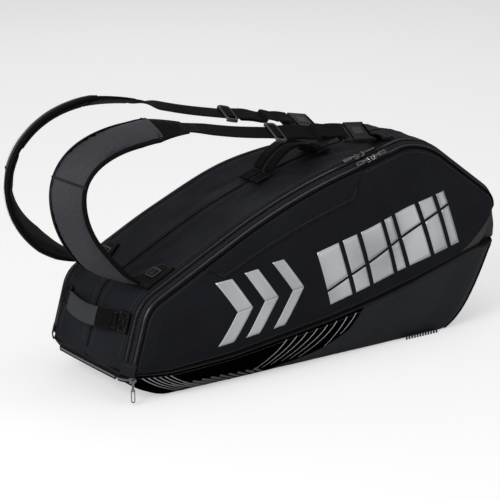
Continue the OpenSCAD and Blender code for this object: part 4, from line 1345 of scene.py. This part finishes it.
def pad_ring(side, t, shrink=0.0, points=20):
    """Section of the pad: an oval with squarer edges."""
    c, u, n = pad_frame(side, t)
    w, h = pad_size(t)
    w, h = w - shrink, h - shrink * 0.5
    ring = []
    for a in np.arange(points) * TAU / points:
        ca, sa = math.cos(a), math.sin(a)
        ring.append(c + u * w / 2 * math.copysign(abs(ca) ** (2 / 2.6), ca)
                    + n * h / 2 * math.copysign(abs(sa) ** (2 / 2.2), sa))
    return ring


# section of the binding that is folded over the pad's rim: along the pad and outwards
BINDING = [(-4.6, -3.6), (-2.0, -1.0), (0, 0.2), (2.0, -1.0), (4.6, -3.6), (4.2, -5.2), (0, -3.4),
           (-4.2, -5.2)]


def strap_edge(side, e, k, hang):
    """Binding folded over one edge of the pad, and the stitches beside it."""
    path, up, thin = [], [], []
    for t in np.linspace(0.07, TIP_FROM + 0.01, 150):
        c, u, _ = pad_frame(side, t)
        w, h = pad_size(t)
        path.append(c + u * e * (w / 2 - 1.2))
        up.append(u * e)
        thin.append(min(1, h / PAD_T))
    path = np.array(path)
    _, across, out = path_frames(path, np.array(up))
    rings = [[p + a * along * slim + n * (rise + 1.0) for along, rise in BINDING]
             for p, a, n, slim in zip(path, across, out, thin)]
    bent(loft(rings, (PIPING,), f"{TAG[side]}_strap_binding_{k}"), *hang, "piping")
    line, normals = [], []
    for t in np.linspace(0.15, 1.76, 120):
        c, u, n = pad_frame(side, t)
        w, h = pad_size(t)
        line.append(c + u * e * (w / 2 - 6.2) + n * (h / 2 + 0.2))
        normals.append(n)
    row = stitches([(np.array(line), np.array(normals))], THREAD, f"{TAG[side]}_strap_edge_stitches_{k}")
    bent(row, *hang, "strap_fabric")


def strap_pad(side):
    """Padded shoulder strap: cushion, bound edges, and the seams at its root and its tip."""
    tag = TAG[side]
    body = f"{tag}_strap"
    ts = np.linspace(0.05, TIP_FROM + 0.02, 110)
    pad = loft([pad_ring(side, t, 2.2) for t in ts], (STRAP, MESH), f"{tag}_strap_cushion")
    frames = [pad_frame(side, t) for t in ts]
    tree = KDTree(len(ts))
    for k, (c, _, _) in enumerate(frames):
        tree.insert(Vector(c), k)
    tree.balance()

    def share(p):
        """How far p is from the pad's centre line, from 0 to 1 at its edge."""
        c, u, _ = frames[tree.find(Vector(p))[1]]
        return abs(np.dot(p - c, u)) / (PAD_W / 2)

    def limit(points):
        return [3.2 * max(0.08, 1 - share(p) ** 4) for p in points]

    puff(pad, limit, voxel=4.6)
    index = []
    for f in pad.data.polygons:
        k = tree.find(Vector(np.array(f.center) / MM))[1]
        index.append(1 if np.dot(np.array(f.normal), frames[k][2]) < -0.25 else 0)
    pad.data.polygons.foreach_set("material_index", index)
    hang = ("bag_body", body, pad_point(side, 0.02), pad_point(side, 0.42))
    bent(pad, *hang, "strap_fabric", f"{tag}_strap_pad")
    for k, e in enumerate((-1, 1)):
        strap_edge(side, e, k, hang)
    for label, t, wide in (("root", 1.13, 3.2), ("tip", TIP_FROM - 0.01, 3.6)):
        c, u, n = pad_frame(side, t)
        w, h = pad_size(t)
        path = np.array([c + u * a * (w / 2 - 1.0) + n * (h / 2 * (1 - abs(a) ** 3 * 0.75) + 1.6)
                         for a in np.linspace(-1, 1, 24)])
        done(ribbon(path, n, wide, 1.1, (PIPING,), f"{tag}_strap_{label}_seam"), body, "piping")
        d = unit(np.cross(u, n))
        sew([(path + d * s * (wide / 2 - 1.2) + n * 0.5, n) for s in (-1, 1)],
            f"{tag}_strap_{label}_stitches", body, "strap_fabric")


def strap_tip(side):
    """Firm cap at the end of the pad, with moulded cross ribs."""
    tag = TAG[side]
    ts = np.linspace(TIP_FROM, TIP_TO, 26)
    tip = loft([pad_ring(side, t, 0.4, 24) for t in ts], (REINFORCE,), f"{tag}_strap_tip_cap")
    done(tip, f"{tag}_strap", "reinforcement", f"{tag}_strap_tip")
    grips = []
    for k in range(9):
        t = TIP_FROM + 0.02 + 0.0155 * k
        c, u, n = pad_frame(side, t)
        w, h = pad_size(t)
        path = np.array([c + u * a * (w / 2 - 7) + n * (h / 2 * (1 - abs(a) ** 3 * 0.4) + 0.1)
                         for a in np.linspace(-1, 1, 14)])
        grips.append(cord(path, 0.55, (REINFORCE,), "rib", sides=6))
    done(merged(grips, f"{tag}_strap_tip_ribs"), f"{tag}_strap", "reinforcement")


def web_roll(side):
    """Both straps lie with their upper faces tipped towards the near side."""
    return 28.0 if side == NEAR else 20.0


PAD_END_ROLL = PAD_ROLL * (1 - 0.35 * 0.98)


def run_frame(side, a, b, share=1.0):
    """Direction, width direction and normal of a straight run of webbing. share is how far
    its roll has gone from the pad's tip to its own."""
    d = unit(np.array([b[0] - a[0], strap_y(side, b[0]) - strap_y(side, a[0]), b[1] - a[1]]))
    y = unit(np.array([-d[1], d[0], 0]))
    n = np.cross(d, y)
    tip = -side * PAD_END_ROLL
    r = math.radians(tip + (web_roll(side) - tip) * share)
    return d, y * math.cos(r) + n * math.sin(r), n * math.cos(r) - y * math.sin(r)


def at_run(side, a, b, t):
    """Point at t on the straight run from a to b."""
    p = a + (b - a) * t
    y = strap_y(side, a[0]) + (strap_y(side, b[0]) - strap_y(side, a[0])) * t
    return np.array([p[0], y, p[1]])


def strap_webbing(side):
    """Webbing from the pad's tip through the adjuster to the buckle, with its loose layers."""
    tag = TAG[side]
    a, b = TIP[side], GLIDE_AT[side]
    ts = np.linspace(-0.05, 0.985, 60)
    path = np.array([at_run(side, a, b, t) for t in ts])
    path = path - np.array([0, 0, 1.0]) * (2.2 * np.sin(math.pi * np.clip(ts, 0, 1)) ** 2)[:, None]
    ups = np.array([run_frame(side, a, b, v * v * (3 - 2 * v))[2] for v in np.clip(ts / TWIST_END, 0, 1)])
    strip = ribbon(path, ups, WEB_W - 4, WEB_T, (WEBBING,), f"{tag}_strap_web")
    done(strip, f"{tag}_strap", "webbing", f"{tag}_strap_webbing")
    # box stitch where the webbing enters the tip
    d, y, n = run_frame(side, a, b, 0)
    o = at_run(side, a, b, 0.02) + n * 1.3
    rows = []
    for s in (-1, 1):
        rows.append((np.linspace(o - d * 14 + y * 11 * s, o + d * 10 + y * 11 * s, 10), n))
        rows.append((np.linspace(o + d * (12 * s - 2) - y * 11, o + d * (12 * s - 2) + y * 11, 10), n))
    sew(rows, f"{tag}_strap_web_stitches", f"{tag}_strap", "webbing")
    # free loop over the adjuster's centre bar
    d, _, n = run_frame(side, a, b)
    glide = at_run(side, a, b, GLIDE_SHARE)
    loop = np.array([glide + d * (26 * k - 13) + n * (1.6 + 3.4 * math.sin(math.pi * k) ** 1.5)
                     for k in np.linspace(0, 1, 30)])
    strip = ribbon(loop, n, WEB_W - 2, 1.8, (WEBBING,), f"{tag}_glide_wrap")
    done(strip, f"{tag}_tri_glide", "webbing")
    # tail: wide webbing with lazy waves down to the buckle, and a short layer under it
    a, b = GLIDE_AT[side], LOCK[side]
    n = run_frame(side, a, b)[2]
    ts = np.linspace(-0.03, 0.985, 70)
    path = np.array([at_run(side, a, b, t) for t in ts]) + n * 2.6
    lift = 2.6 * np.sin(ts * math.pi * 2.6 + 0.6) * np.sin(math.pi * np.clip(ts, 0, 1))
    path = path + n * np.where(ts > 0.5, np.abs(lift), lift)[:, None]
    strip = ribbon(path, n, WEB_W, WEB_T, (WEBBING,), f"{tag}_strap_tail_web", crown=-0.6)
    done(strip, f"{tag}_strap_tail", "webbing", f"{tag}_strap_tail")
    low = path - n * (3.2 + 0.9 * np.sin(ts * 9)[:, None])
    strip = ribbon(low[5:38], n, WEB_W - 1, 1.8, (WEBBING,), f"{tag}_strap_tail_under")
    done(strip, f"{tag}_strap_tail", "webbing")


for strap_side in (NEAR, FAR):
    strap_pad(strap_side)
    strap_tip(strap_side)
    strap_webbing(strap_side)


# ---------------------------------------------------------------- hardware
def frame_of(side, a, b, t, drop=0.0):
    """Origin and axes (along, across, normal) of a piece of hardware on a run of webbing."""
    d, y, n = run_frame(side, a, b)
    return at_run(side, a, b, t) - n * drop, d, y, n


def put(frame_at, points):
    """Points given in a hardware frame, in the bag's frame."""
    o, d, y, n = frame_at
    p = np.asarray(points, float)
    return o + p[..., :1] * d + p[..., 1:2] * y + p[..., 2:] * n


def pillow(frame_at, length, width, height, radius, ease, mat):
    """Moulded plate with a rounded plan and eased upper and lower edges, in a hardware frame."""
    half, soft = height / 2, ease * 0.3
    rings = []
    for inset, z in ((ease, -half), (soft, soft - half), (0, ease - half), (0, half - ease),
                     (soft, half - soft), (ease, half)):
        plan = rounded_loop(length - 2 * inset, width - 2 * inset, max(0.2, radius - inset))
        rings.append(put(frame_at, np.column_stack([plan, np.full(len(plan), z)])))
    return stacked(rings, mat, "moulding")


def shifted(frame_at, x, y, z):
    """The same hardware frame with its origin moved."""
    o, d, across, n = frame_at
    return o + d * x + across * y + n * z, d, across, n


def tri_glide(side):
    """Adjuster: a rounded frame with two bars, ridges that grip the webbing and finger grips."""
    tag = TAG[side]
    at = frame_of(side, TIP[side], GLIDE_AT[side], GLIDE_SHARE)
    w, l = WEB_W + 12, 24.0
    plan = rounded_loop(l - 4.6, w - 4.6, 5.0)
    rim = put(at, np.column_stack([plan, np.full(len(plan), 2.0)]))
    parts = [cord(rim, 2.3, (GLIDE,), "rim", loop=True, sides=12, up=at[3])]
    for z, r in ((-0.2, 2.1), (-2.2, 1.7)):
        bar = put(at, [[0, y, z] for y in np.linspace(-w / 2 + 3, w / 2 - 3, 12)])
        parts.append(cord(bar, r, (GLIDE,), "bar", sides=12))
    for y in np.linspace(-13, 13, 9):
        parts.append(pillow(shifted(at, 0, y, -3.6), 2.6, 1.3, 1.4, 0.5, 0.3, GLIDE))
    for s in (-1, 1):
        parts.append(pillow(shifted(at, 0, s * (w / 2 - 2.4), 0.2), l - 3, 4.2, 5.6, 2.0, 0.8, GLIDE))
        for x in np.linspace(-6, 6, 5):
            parts.append(pillow(shifted(at, x, s * (w / 2 - 0.4), 0.4), 1.1, 1.0, 3.4, 0.4, 0.2, GLIDE))
    done(merged(parts, f"{tag}_tri_glide_frame"), f"{tag}_tri_glide", "glide_plastic", f"{tag}_tri_glide")


BUCKLE_W, BUCKLE_T, PRONG_L, MALE_L = 44.0, 11.0, 26.0, 20.0


def hard(node, mat, bevel):
    """Shows a moulded CAD node with eased edges and its own finish."""
    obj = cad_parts[node]
    obj.data.materials.clear()
    obj.data.materials.append(mat)
    weld = obj.modifiers.new("weld", "WELD")
    weld.merge_threshold = 1e-5
    mod = obj.modifiers.new("bevel", "BEVEL")
    mod.width = bevel * MM
    mod.segments = 3
    mod.limit_method = "ANGLE"
    mod.angle_limit = math.radians(30)


def buckle(side):
    """Side-release buckle: both eased mouldings with their grips and plates, and the webbing
    that folds round its ladder bar."""
    tag = TAG[side]
    male = f"{tag}_buckle_male"
    at = frame_of(side, GLIDE_AT[side], LOCK[side], 0.98, 4.6)
    hard(male, ACETAL, 0.7)
    hard(f"{tag}_buckle_female", ACETAL, 1.3)
    parts = [pillow(shifted(at, -7.9, y, 3.1), 3.2, 1.4, 0.9, 0.5, 0.25, ACETAL)
             for y in np.linspace(-14, 14, 8)]
    parts += [pillow(shifted(at, 7.0, s * 18.6, 3.05), 9, 4.6, 0.8, 1.6, 0.3, ACETAL) for s in (-1, 1)]
    parts.append(pillow(shifted(at, 7.2, 0, 3.05), 4.0, 26, 0.7, 1.4, 0.3, GLIDE))
    done(merged(parts, f"{male}_details"), male, "buckle_plastic")
    mid = MALE_L - 9.4 + (PRONG_L + 13) / 2
    top = BUCKLE_T / 2
    # the paler glide plastic of the inset plate on the buckle's top is a painted highlight
    parts = [pillow(shifted(at, mid - 3, 0, top), 24, 24, 1.3, 5, 0.5, ACETAL),
             pillow(shifted(at, mid - 3, 0, top + 0.7), 17, 16, 0.6, 4, 0.3, GLIDE)]
    for s in (-1, 1):
        for x in np.linspace(-9, 9, 7):
            spot = shifted(at, mid - 4 + x, s * (BUCKLE_W / 2 + 0.1), 0)
            parts.append(pillow(spot, 1.4, 1.0, 6.6, 0.4, 0.25, ACETAL))
    done(merged(parts, f"{tag}_buckle_female_details"), "bag_body", "buckle_plastic")
    wrap = put(at, [[-9.5 - 3.2 * math.sin(a), 0, 4.6 * math.cos(a)]
                    for a in np.linspace(0.2, math.pi - 0.2, 14)])
    done(ribbon(wrap, at[1], WEB_W - 2, 1.6, (WEBBING,), f"{tag}_buckle_wrap"), male, "webbing")
    buckle_stub(side, at[0], at[1])


def buckle_stub(side, origin, along):
    """Webbing that ties the buckle's female half down to the bag, with its box stitch."""
    tag = TAG[side]
    start = origin + along * (MALE_L + PRONG_L + 6)
    land_x = start[0] + 26
    land_z = on_outline(land_x)[0]
    land_y = side * min(abs(start[1]), float(main_half(land_x)) - 26)
    land = np.array([land_x, land_y, land_z + CROWN + 2.2])
    drop = on_outline(land_x + 20)[0] - land_z
    path = smooth_path([start - along * 3, start + along * 4, (start + land) / 2 + [0, 0, 2.5],
                        land - [6, 0, 0], land + [20, 0, drop - 1]], 2.0, 8)
    for p in path:
        if p[0] > land_x - 2:
            p[2] = max(p[2], on_outline(p[0])[0] + CROWN + 1.6)
    strip = ribbon(path, (0.1, 0, 1), WEB_W, WEB_T, (WEBBING,), f"{tag}_stub_web")
    done(strip, "bag_body", "webbing", f"{tag}_buckle_stub")
    end, up = path[-1], np.array([0.3, 0, 1.0])
    rows = [(np.linspace(end + [-16, a * 13, 1.8], end + [-2, b * 13, 1.3], count), up)
            for a, b, count in ((-1, -1, 8), (1, 1, 8), (-1, 1, 10), (1, -1, 10))]
    sew(rows, f"{tag}_stub_stitches", "bag_body", "webbing")


def skin_at(x, y, up=0.0):
    """Point on the gusset's outside at x and y, raised by up, and the normal there."""
    z, nx, nz = on_outline(x)
    s = y / (float(main_half(x)) - ZIP_HALF)
    h = CROWN * (1 - s * s) + up + (float(far_lift_at(x)) * max(0.0, s) ** 2)
    return np.array([x + nx * h, y, z + nz * h]), np.array([nx, 0, nz])


WING_INNER, WING_OUTER, WING_TAIL, WING_NOSE = 40.0, 98.0, -320, -268


def anchor(side):
    """Reinforced wing that a strap is sewn to, and the moulded tab on it."""
    tag = TAG[side]
    xs = np.linspace(WING_TAIL, WING_NOSE, 26)
    ys = np.linspace(0, 1, 22)
    grid = np.zeros((len(xs), len(ys), 3))
    for i, x in enumerate(xs):
        lo = WING_INNER + 0.62 * (x + 316)
        for j, v in enumerate(ys):
            rim = min(v, 1 - v) * (WING_OUTER - lo)
            end = min(x - WING_TAIL, WING_NOSE - x)
            lift = 3.6 + 2.2 * (1 - math.exp(-min(rim, end) / 6.0))
            grid[i, j] = skin_at(x, side * (lo + (WING_OUTER - lo) * v), lift)[0]
    piece = sheet(grid, 3.4, (REINFORCE,), f"{tag}_anchor_wing_patch", sign=side)
    done(piece, "bag_body", "reinforcement", f"{tag}_anchor_wing")
    n = grid_normals(grid, side)
    rows = hems(grid, n, (1, 3, -4, -2)) + hems(grid.swapaxes(0, 1), n.swapaxes(0, 1), (1, 3, -3))
    sew(rows, f"{tag}_anchor_stitches", "bag_body", "reinforcement")
    c, up = skin_at(-292, side * 76, 6.4)
    y = np.array([0, 1.0, 0])
    at = (c, np.cross(y, up), y, up)
    tab = [pillow(at, 20, 24, 1.0, 3, 0.4, GLIDE),
           pillow(shifted(at, 0, 0, 0.5), 15, 19, 0.6, 2, 0.25, REINFORCE)]
    for k in range(4):
        tab.append(pillow(shifted(at, -4.5 + 3 * k, 0, 0.9), 1.2, 12 - 2 * k, 0.5, 0.5, 0.15, GLIDE))
    done(merged(tab, f"{tag}_anchor_tab"), "bag_body", "reinforcement")


for hw_side in (NEAR, FAR):
    tri_glide(hw_side)
    buckle(hw_side)
    anchor(hw_side)


# ---------------------------------------------------------------- handles
CARRY_X0, CARRY_X1, CARRY_RISE, SPLIT = -44.0, 76.0, 26.0, 15.0


def carry_point(t):
    """Point on the carry handle's middle line, at t from 0 at the tail foot to 1."""
    x = CARRY_X0 + 14 + (CARRY_X1 - CARRY_X0 - 28) * t
    rise = CARRY_RISE * math.sin(math.pi * min(1, max(0, t))) ** 0.7
    return np.array([x, 0, on_outline(x)[0] + CROWN + 6 + rise])


def top_handle():
    """Carry handle of two slack webbing loops, one on each side of the centre welt."""
    ts = (1 - np.cos(np.linspace(0, math.pi, 56))) / 2
    middle = np.array([carry_point(t) for t in ts])
    across = unit(middle[-1] - middle[0])
    lift = np.array([-across[2], 0, across[0]])
    hang = ("bag_body", "top_handle", middle[0] + lift, middle[0] + lift * 18, "webbing")
    for side, slack, nodes in ((NEAR, 2.0, ("top_handle",)), (FAR, -0.6, ())):
        tag = TAG[side]
        sway = np.sin(ts * math.pi) * slack
        path = middle + np.stack([np.zeros(56), side * (SPLIT + sway), side * -0.8 * np.sin(ts * 6)], axis=1)
        up = unit(np.cross(unit(np.gradient(path, axis=0)), (0, -1.0, 0)))
        bent(ribbon(path, up, HANDLE_W * 0.78, WEB_T, (WEBBING,), f"{tag}_carry_strip"), *hang, *nodes)
        low = path[3:-3] - up[3:-3] * 2.1
        bent(ribbon(low, up[3:-3], HANDLE_W * 0.7, 1.7, (WEBBING,), f"{tag}_carry_lining"), *hang)
        rows = [(path + np.array([0, e * HANDLE_W * 0.32, 0]) + up * 1.15, up) for e in (-1, 1)]
        bent(stitches(rows, THREAD, f"{tag}_carry_stitches"), *hang)
    carry_patches()


def carry_patches():
    """Four ribbed patches that sew the carry handle down."""
    objs, rows = [], []
    for x in (CARRY_X0, CARRY_X1):
        for s in (-1, 1):
            spots = [skin_at(x + a, s * SPLIT, 3.4 + 0.8 * (1 - (a / 15) ** 4))
                     for a in np.linspace(-15, 15, 22)]
            pts, ups = np.array([p for p, _ in spots]), np.array([n for _, n in spots])
            objs.append(ribbon(pts, ups, HANDLE_W * 0.86, 2.6, (WEBBING,), "patch"))
            for k in range(3, 19, 2):
                ridge = np.array([pts[k] + ups[k] * 1.3 + np.array([0, y, 0])
                                  for y in np.linspace(-9.5, 9.5, 8)])
                objs.append(cord(ridge, 0.7, (REINFORCE,), "ridge", sides=6))
            rows += [(pts + np.array([0, e * 10.6, 0]) + ups * 1.4, ups) for e in (-1, 1)]
    done(merged(objs, "carry_patches"), "bag_body", "webbing", "top_handle_patches")
    sew(rows, "carry_patch_stitches", "bag_body", "webbing")


GRAB_Z, GRAB_HALF = 128.0, 74.0
TAIL_OUT, TAIL_UP = np.array([-0.96, 0, 0.28]), np.array([0.28, 0, 0.96])


def tail_face_x(z):
    """X of the bag's tail face at height z."""
    z0 = float(seam_z(TAIL_X)) + SEAM_GAP
    return TAIL_X + (z - z0) * (SHOULDER[0] - TAIL_X) / (SHOULDER[1] - z0)


def end_handle():
    """Grab handle across the tail, with a padded sleeve and a textured band round it."""
    ts = (1 - np.cos(np.linspace(0, math.pi, 70))) / 2
    out = 6 + 16 * np.sin(np.clip(ts, 0, 1) * math.pi) ** 0.6
    sag = -3.0 * np.sin(ts * math.pi) ** 2
    path = np.stack([tail_face_x(GRAB_Z) - CROWN - out, GRAB_HALF * (2 * ts - 1), GRAB_Z + sag], axis=1)
    up = unit(np.cross(unit(np.gradient(path, axis=0)), TAIL_UP))
    up = up * np.where(up[:, :1] > 0, -1, 1)
    hang = ("bag_body", "end_handle", path[0], path[0] + TAIL_OUT * 12, "webbing")
    bent(ribbon(path, up, HANDLE_W, WEB_T + 0.6, (WEBBING,), "grab_strip"), *hang, "end_handle")
    rows = [(path + TAIL_UP * e * (HANDLE_W / 2 - 2.6) + up * 1.6, up) for e in (-1, 1)]
    bent(stitches(rows, THREAD, "grab_stitches"), *hang)

    def ring(k, wide, thick):
        """Oval round the strap at its point k."""
        return [path[k] + TAIL_UP * (HANDLE_W / 2 + wide) * math.cos(a) * abs(math.cos(a)) ** -0.35
                + up[k] * thick * math.sin(a) for a in np.arange(0.13, TAU, TAU / 20)]

    sleeve = [ring(k, 0.9, 2.6 + 1.4 * math.sin(math.pi * (ts[k] - 0.26) / 0.64) ** 0.4)
              for k in range(70) if 0.26 < ts[k] < 0.9]
    bent(loft(sleeve, (WEB_GREY,), "grab_sleeve"), *hang)
    band = [ring(k, 1.2, 2.9) for k in range(70) if 0.03 < ts[k] < 0.26]
    bent(loft(band, (REINFORCE,), "grab_band"), *hang)
    objs, rows = [], []
    for s in (-1, 1):
        ys = np.linspace(s * (GRAB_HALF + 1), s * (float(main_half(TAIL_X)) - 8), 16)
        pts = np.stack([np.full(16, tail_face_x(GRAB_Z) - CROWN - 2.2), ys, np.full(16, GRAB_Z)], axis=1)
        objs.append(ribbon(pts, TAIL_OUT, HANDLE_W + 5, 2.4, (REINFORCE,), "patch"))
        a, b = pts[1], pts[-2]
        e = TAIL_UP * (HANDLE_W / 2)
        for p, q in ((a - e, b - e), (a + e, b + e), (a - e, a + e), (b - e, b + e), (a - e, b + e),
                     (a + e, b - e)):
            rows.append((np.linspace(p, q, 10) + TAIL_OUT * 1.35, TAIL_OUT))
    done(merged(objs, "grab_patches"), "bag_body", "webbing", "end_handle_patches")
    sew(rows, "grab_patch_stitches", "bag_body", "webbing")


top_handle()
end_handle()


# ---------------------------------------------------------------- zip hardware and ribs
PULL_L, PULL_EYE = 30.0, 1.7


def pull_frame(node):
    """Frame of a pull: origin on its pin, first axis along it, third out of its plate."""
    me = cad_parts[node].data
    co = np.array([v.co for v in me.vertices]) / MM
    me.calc_loop_triangles()
    tri = np.array([t.vertices for t in me.loop_triangles])
    cr = np.cross(co[tri[:, 1]] - co[tri[:, 0]], co[tri[:, 2]] - co[tri[:, 0]])
    n = unit(cr[np.argmax(np.linalg.norm(cr, axis=1))])
    flat = co - np.outer(co @ n, n)
    d = np.linalg.svd(flat - flat.mean(0), full_matrices=False)[2][0]
    y = np.cross(n, d)
    across = co @ y
    mid = (across.max() + across.min()) / 2
    wide = np.abs(across - mid) > 3.0
    if (co[wide] @ d).mean() < ((co @ d).max() + (co @ d).min()) / 2:
        d, y, mid = -d, -y, -mid
    level = ((co[wide] @ n).max() + (co[wide] @ n).min()) / 2
    return d * ((co @ d).min() + PULL_EYE) + y * mid + n * level, d, y, n


def pull_inlay(node):
    """Dark rubber that fills the slot of a pull's plate and stands a little proud of it."""
    at = pull_frame(node)
    start, end = PULL_L * 0.36 + 4.4, PULL_L - 1.8
    mid = shifted(at, (start + end) / 2, 0, 0)
    parts = [pillow(mid, end - start, 3.3, 2.5, 1.6, 0.5, ACETAL)]
    for s in (-1, 1):
        for x in (-2.4, 0, 2.4):
            parts.append(pillow(shifted(mid, x, 0, s * 1.25), 0.8, 2.2, 0.5, 0.3, 0.12, ACETAL))
    done(merged(parts, f"{node}_inlay"), node, "zip_metal")


SLIDERS = [f"{z}_{kind}_{end}" for z in ("near_main", "near_side", "far_main")
           for kind in ("slider", "pull") for end in ("rear", "front")] + ["pod_slider", "pod_pull"]
for item in SLIDERS:
    hard(item, NICKEL, 0.4)
    if "_pull_" in item:
        pull_inlay(item)
hard("bumper_ribs", RUBBER, 1.0)


# ---------------------------------------------------------------- printed marks
def panel_tree(grid):
    """Search tree of a panel's surface, in mm."""
    return BVHTree.FromPolygons([tuple(v) for v in grid.reshape(-1, 3)], grid_faces(*grid.shape[:2]))


def printed(shapes, tree, side, mat, name, body, thick=0.35, lift=0.12):
    """Thin film laid on a surface: each shape is a closed quad strip in (x, z) mm, cast
    sideways on to the panel."""
    objs = []
    for a, b, across in shapes:
        flat = np.stack([a * (1 - v) + b * v for v in np.linspace(0, 1, across)], axis=1)
        pts = np.zeros(flat.shape[:2] + (3,))
        nor = np.zeros_like(pts)
        for spot in np.ndindex(flat.shape[:2]):
            x, z = flat[spot]
            hit, n, _, _ = tree.ray_cast(Vector((x, side * 400, z)), Vector((0, -side, 0)))
            if hit is None:
                hit, n, _, _ = tree.find_nearest(Vector((x, side * 140, z)))
            nor[spot] = n * (1 if n.y * side > 0 else -1)
            pts[spot] = np.array(hit) + nor[spot] * (lift + thick)
        rings = np.concatenate([pts, (pts - nor * thick)[:, ::-1]], axis=1)
        objs.append(loft(rings, (mat,), "mark"))
    return done(merged(objs, name), body, "body_fabric")


CHEVRON_X, CHEVRON_W, CHEVRON_REACH = (-222.0, -168.0, -114.0), 30.0, 36.0
ROW_SLOPE = 0.19


def emblem():
    """Three nested chevrons that point towards the racket-head end."""
    shapes = []
    for k, x0 in enumerate(CHEVRON_X):
        w = CHEVRON_W - 4.0 * k
        low, mid, top = 76 + 5.0 * k, 128 + 8.5 * k, 180 + 8.0 * k
        for z0, z1, xa, xb in ((low, mid, 0, CHEVRON_REACH), (mid, top, CHEVRON_REACH, 0)):
            a = np.stack([np.linspace(x0 + xa, x0 + xb, 15), np.linspace(z0, z1, 15)], axis=1)
            shapes.append((a, a + [w, w * 0.1], 7))
    return shapes


def slant_bars():
    """Row of plain slanted bars of uneven width that climbs with the panel. One thin
    diagonal gap runs through the whole row."""
    shapes = []
    x = 0.0
    lean, tall, gap = 26.0, 92.0, 0.045
    for width in (46, 30, 46, 18, 46, 30, 18):
        edges = []
        for at in (x, x + width):
            cut = 0.24 + 0.5 * at / 300
            z0 = 106 + ROW_SLOPE * at
            edges.append([np.stack([at - lean * t, z0 + tall * t], axis=1)
                          for t in (np.linspace(0, cut, 10), np.linspace(cut + gap, 1, 10))])
        for left, right in zip(*edges):
            shapes.append((left, right, max(4, int(width / 4))))
        x += width + 9
    return shapes


FOLD_REACH = 52.0


def nose_fold(side, tree):
    """Turned-in triangle at a side's lower nose corner, from a slanting fold line to the edge, laid on the
    panel as a film in the lighter cheek colour, painted light.
    """
    edge = band_row(side, 1)
    edge = edge[(edge[:, 0] > 300) & (edge[:, 2] < NOSE_LEVEL - 4)][::-1]
    rim = spread(edge[:, [0, 2]], 14) - [2.6, 0]
    foot = seam_line(side)[-1]
    start = np.array([foot[0] - FOLD_REACH, float(seam_z(foot[0] - FOLD_REACH)) + SEAM_GAP + 2.0])
    rim[0] = [foot[0] - 2.6, foot[2] + SEAM_GAP + 2.0]
    slant = start + (rim[-1] - start) * np.linspace(0, 1, 14)[:, None]
    printed([(slant, rim, 12)], tree, side, CHEEK_PAINTED_LIGHT, f"{TAG[side]}_nose_fold", PANEL_BODY[side], thick=0.5)


NEAR_TREE = panel_tree(NEAR_PANEL)
nose_fold(NEAR, NEAR_TREE)
nose_fold(FAR, panel_tree(FAR_PANEL))
printed(emblem(), NEAR_TREE, NEAR, SILVER, "near_panel_chevrons", "near_panel")
printed(slant_bars(), NEAR_TREE, NEAR, SILVER, "near_panel_bars", "near_panel")


# ---------------------------------------------------------------- stage
def seen_only(tree, strength, base):
    """Strength that the camera sees, where other rays see base."""
    path = tree.nodes.new("ShaderNodeLightPath")
    mix = tree.nodes.new("ShaderNodeMix")
    mix.data_type = "FLOAT"
    tree.links.new(path.outputs["Is Camera Ray"], mix.inputs[0])
    mix.inputs[2].default_value = base
    mix.inputs[3].default_value = strength
    return mix.outputs[0]


# name, place, size and power of each light
LIGHTS = [("key", (-2.8, -1.15, 1.8), 1.8, 60), ("fill", (2.4, -1.8, 1.0), 2.0, 13),
          ("top", (0.1, -0.3, 2.9), 2.2, 12), ("rim", (1.2, 2.6, 2.0), 1.6, 7)]


def stage():
    """Pale floor without an edge, and soft studio light."""
    m = Mat("floor", (0.72, 0.72, 0.725))
    m.set("Roughness", 0.8)
    m.set("Specular IOR Level", 0.1)
    m.set("Emission Color", (1, 1, 1, 1))
    m.set("Emission Strength", seen_only(m.t, 0.48, 0.0))
    grid = np.array([[[x, y, -0.2] for y in (-30000.0, 30000.0)] for x in (-30000.0, 0.0, 30000.0)])
    floor = build("floor", grid.reshape(-1, 3), grid_faces(3, 2), None, (m.m,))
    world = bpy.data.worlds.new("studio")
    world.use_nodes = True
    tree = world.node_tree
    bg = tree.nodes["Background"]
    bg.inputs[0].default_value = (1, 1, 1, 1)
    tree.links.new(seen_only(tree, 0.95, 0.26), bg.inputs[1])
    bpy.context.scene.world = world
    for name, at, size, power in LIGHTS:
        data = bpy.data.lights.new(name, "AREA")
        data.size = size
        data.energy = power
        obj = bpy.data.objects.new(name, data)
        obj.location = at
        obj.rotation_euler = (Vector((0, 0, 0.2)) - Vector(at)).to_track_quat("-Z", "Y").to_euler()
        bpy.context.scene.collection.objects.link(obj)


TURN, RISE, AWAY, AIM_Z = 35.4, 16.1, 3.524, 0.17


def camera():
    """Camera that looks down on the decorated side, from the tail."""
    turn, rise = math.radians(TURN), math.radians(RISE)
    back = Vector((-math.sin(turn) * math.cos(rise), -math.cos(turn) * math.cos(rise), math.sin(rise)))
    data = bpy.data.cameras.new("camera")
    data.lens, data.sensor_width = 150.4, 36.0
    data.shift_x, data.shift_y = -0.056, -0.007
    obj = bpy.data.objects.new("camera", data)
    bpy.context.scene.collection.objects.link(obj)
    obj.location = Vector((0, 0, AIM_Z)) + back * AWAY
    obj.rotation_euler = (-back).to_track_quat("-Z", "Y").to_euler()
    bpy.context.scene.camera = obj


stage()
camera()
bpy.context.scene.view_settings.view_transform = "Standard"
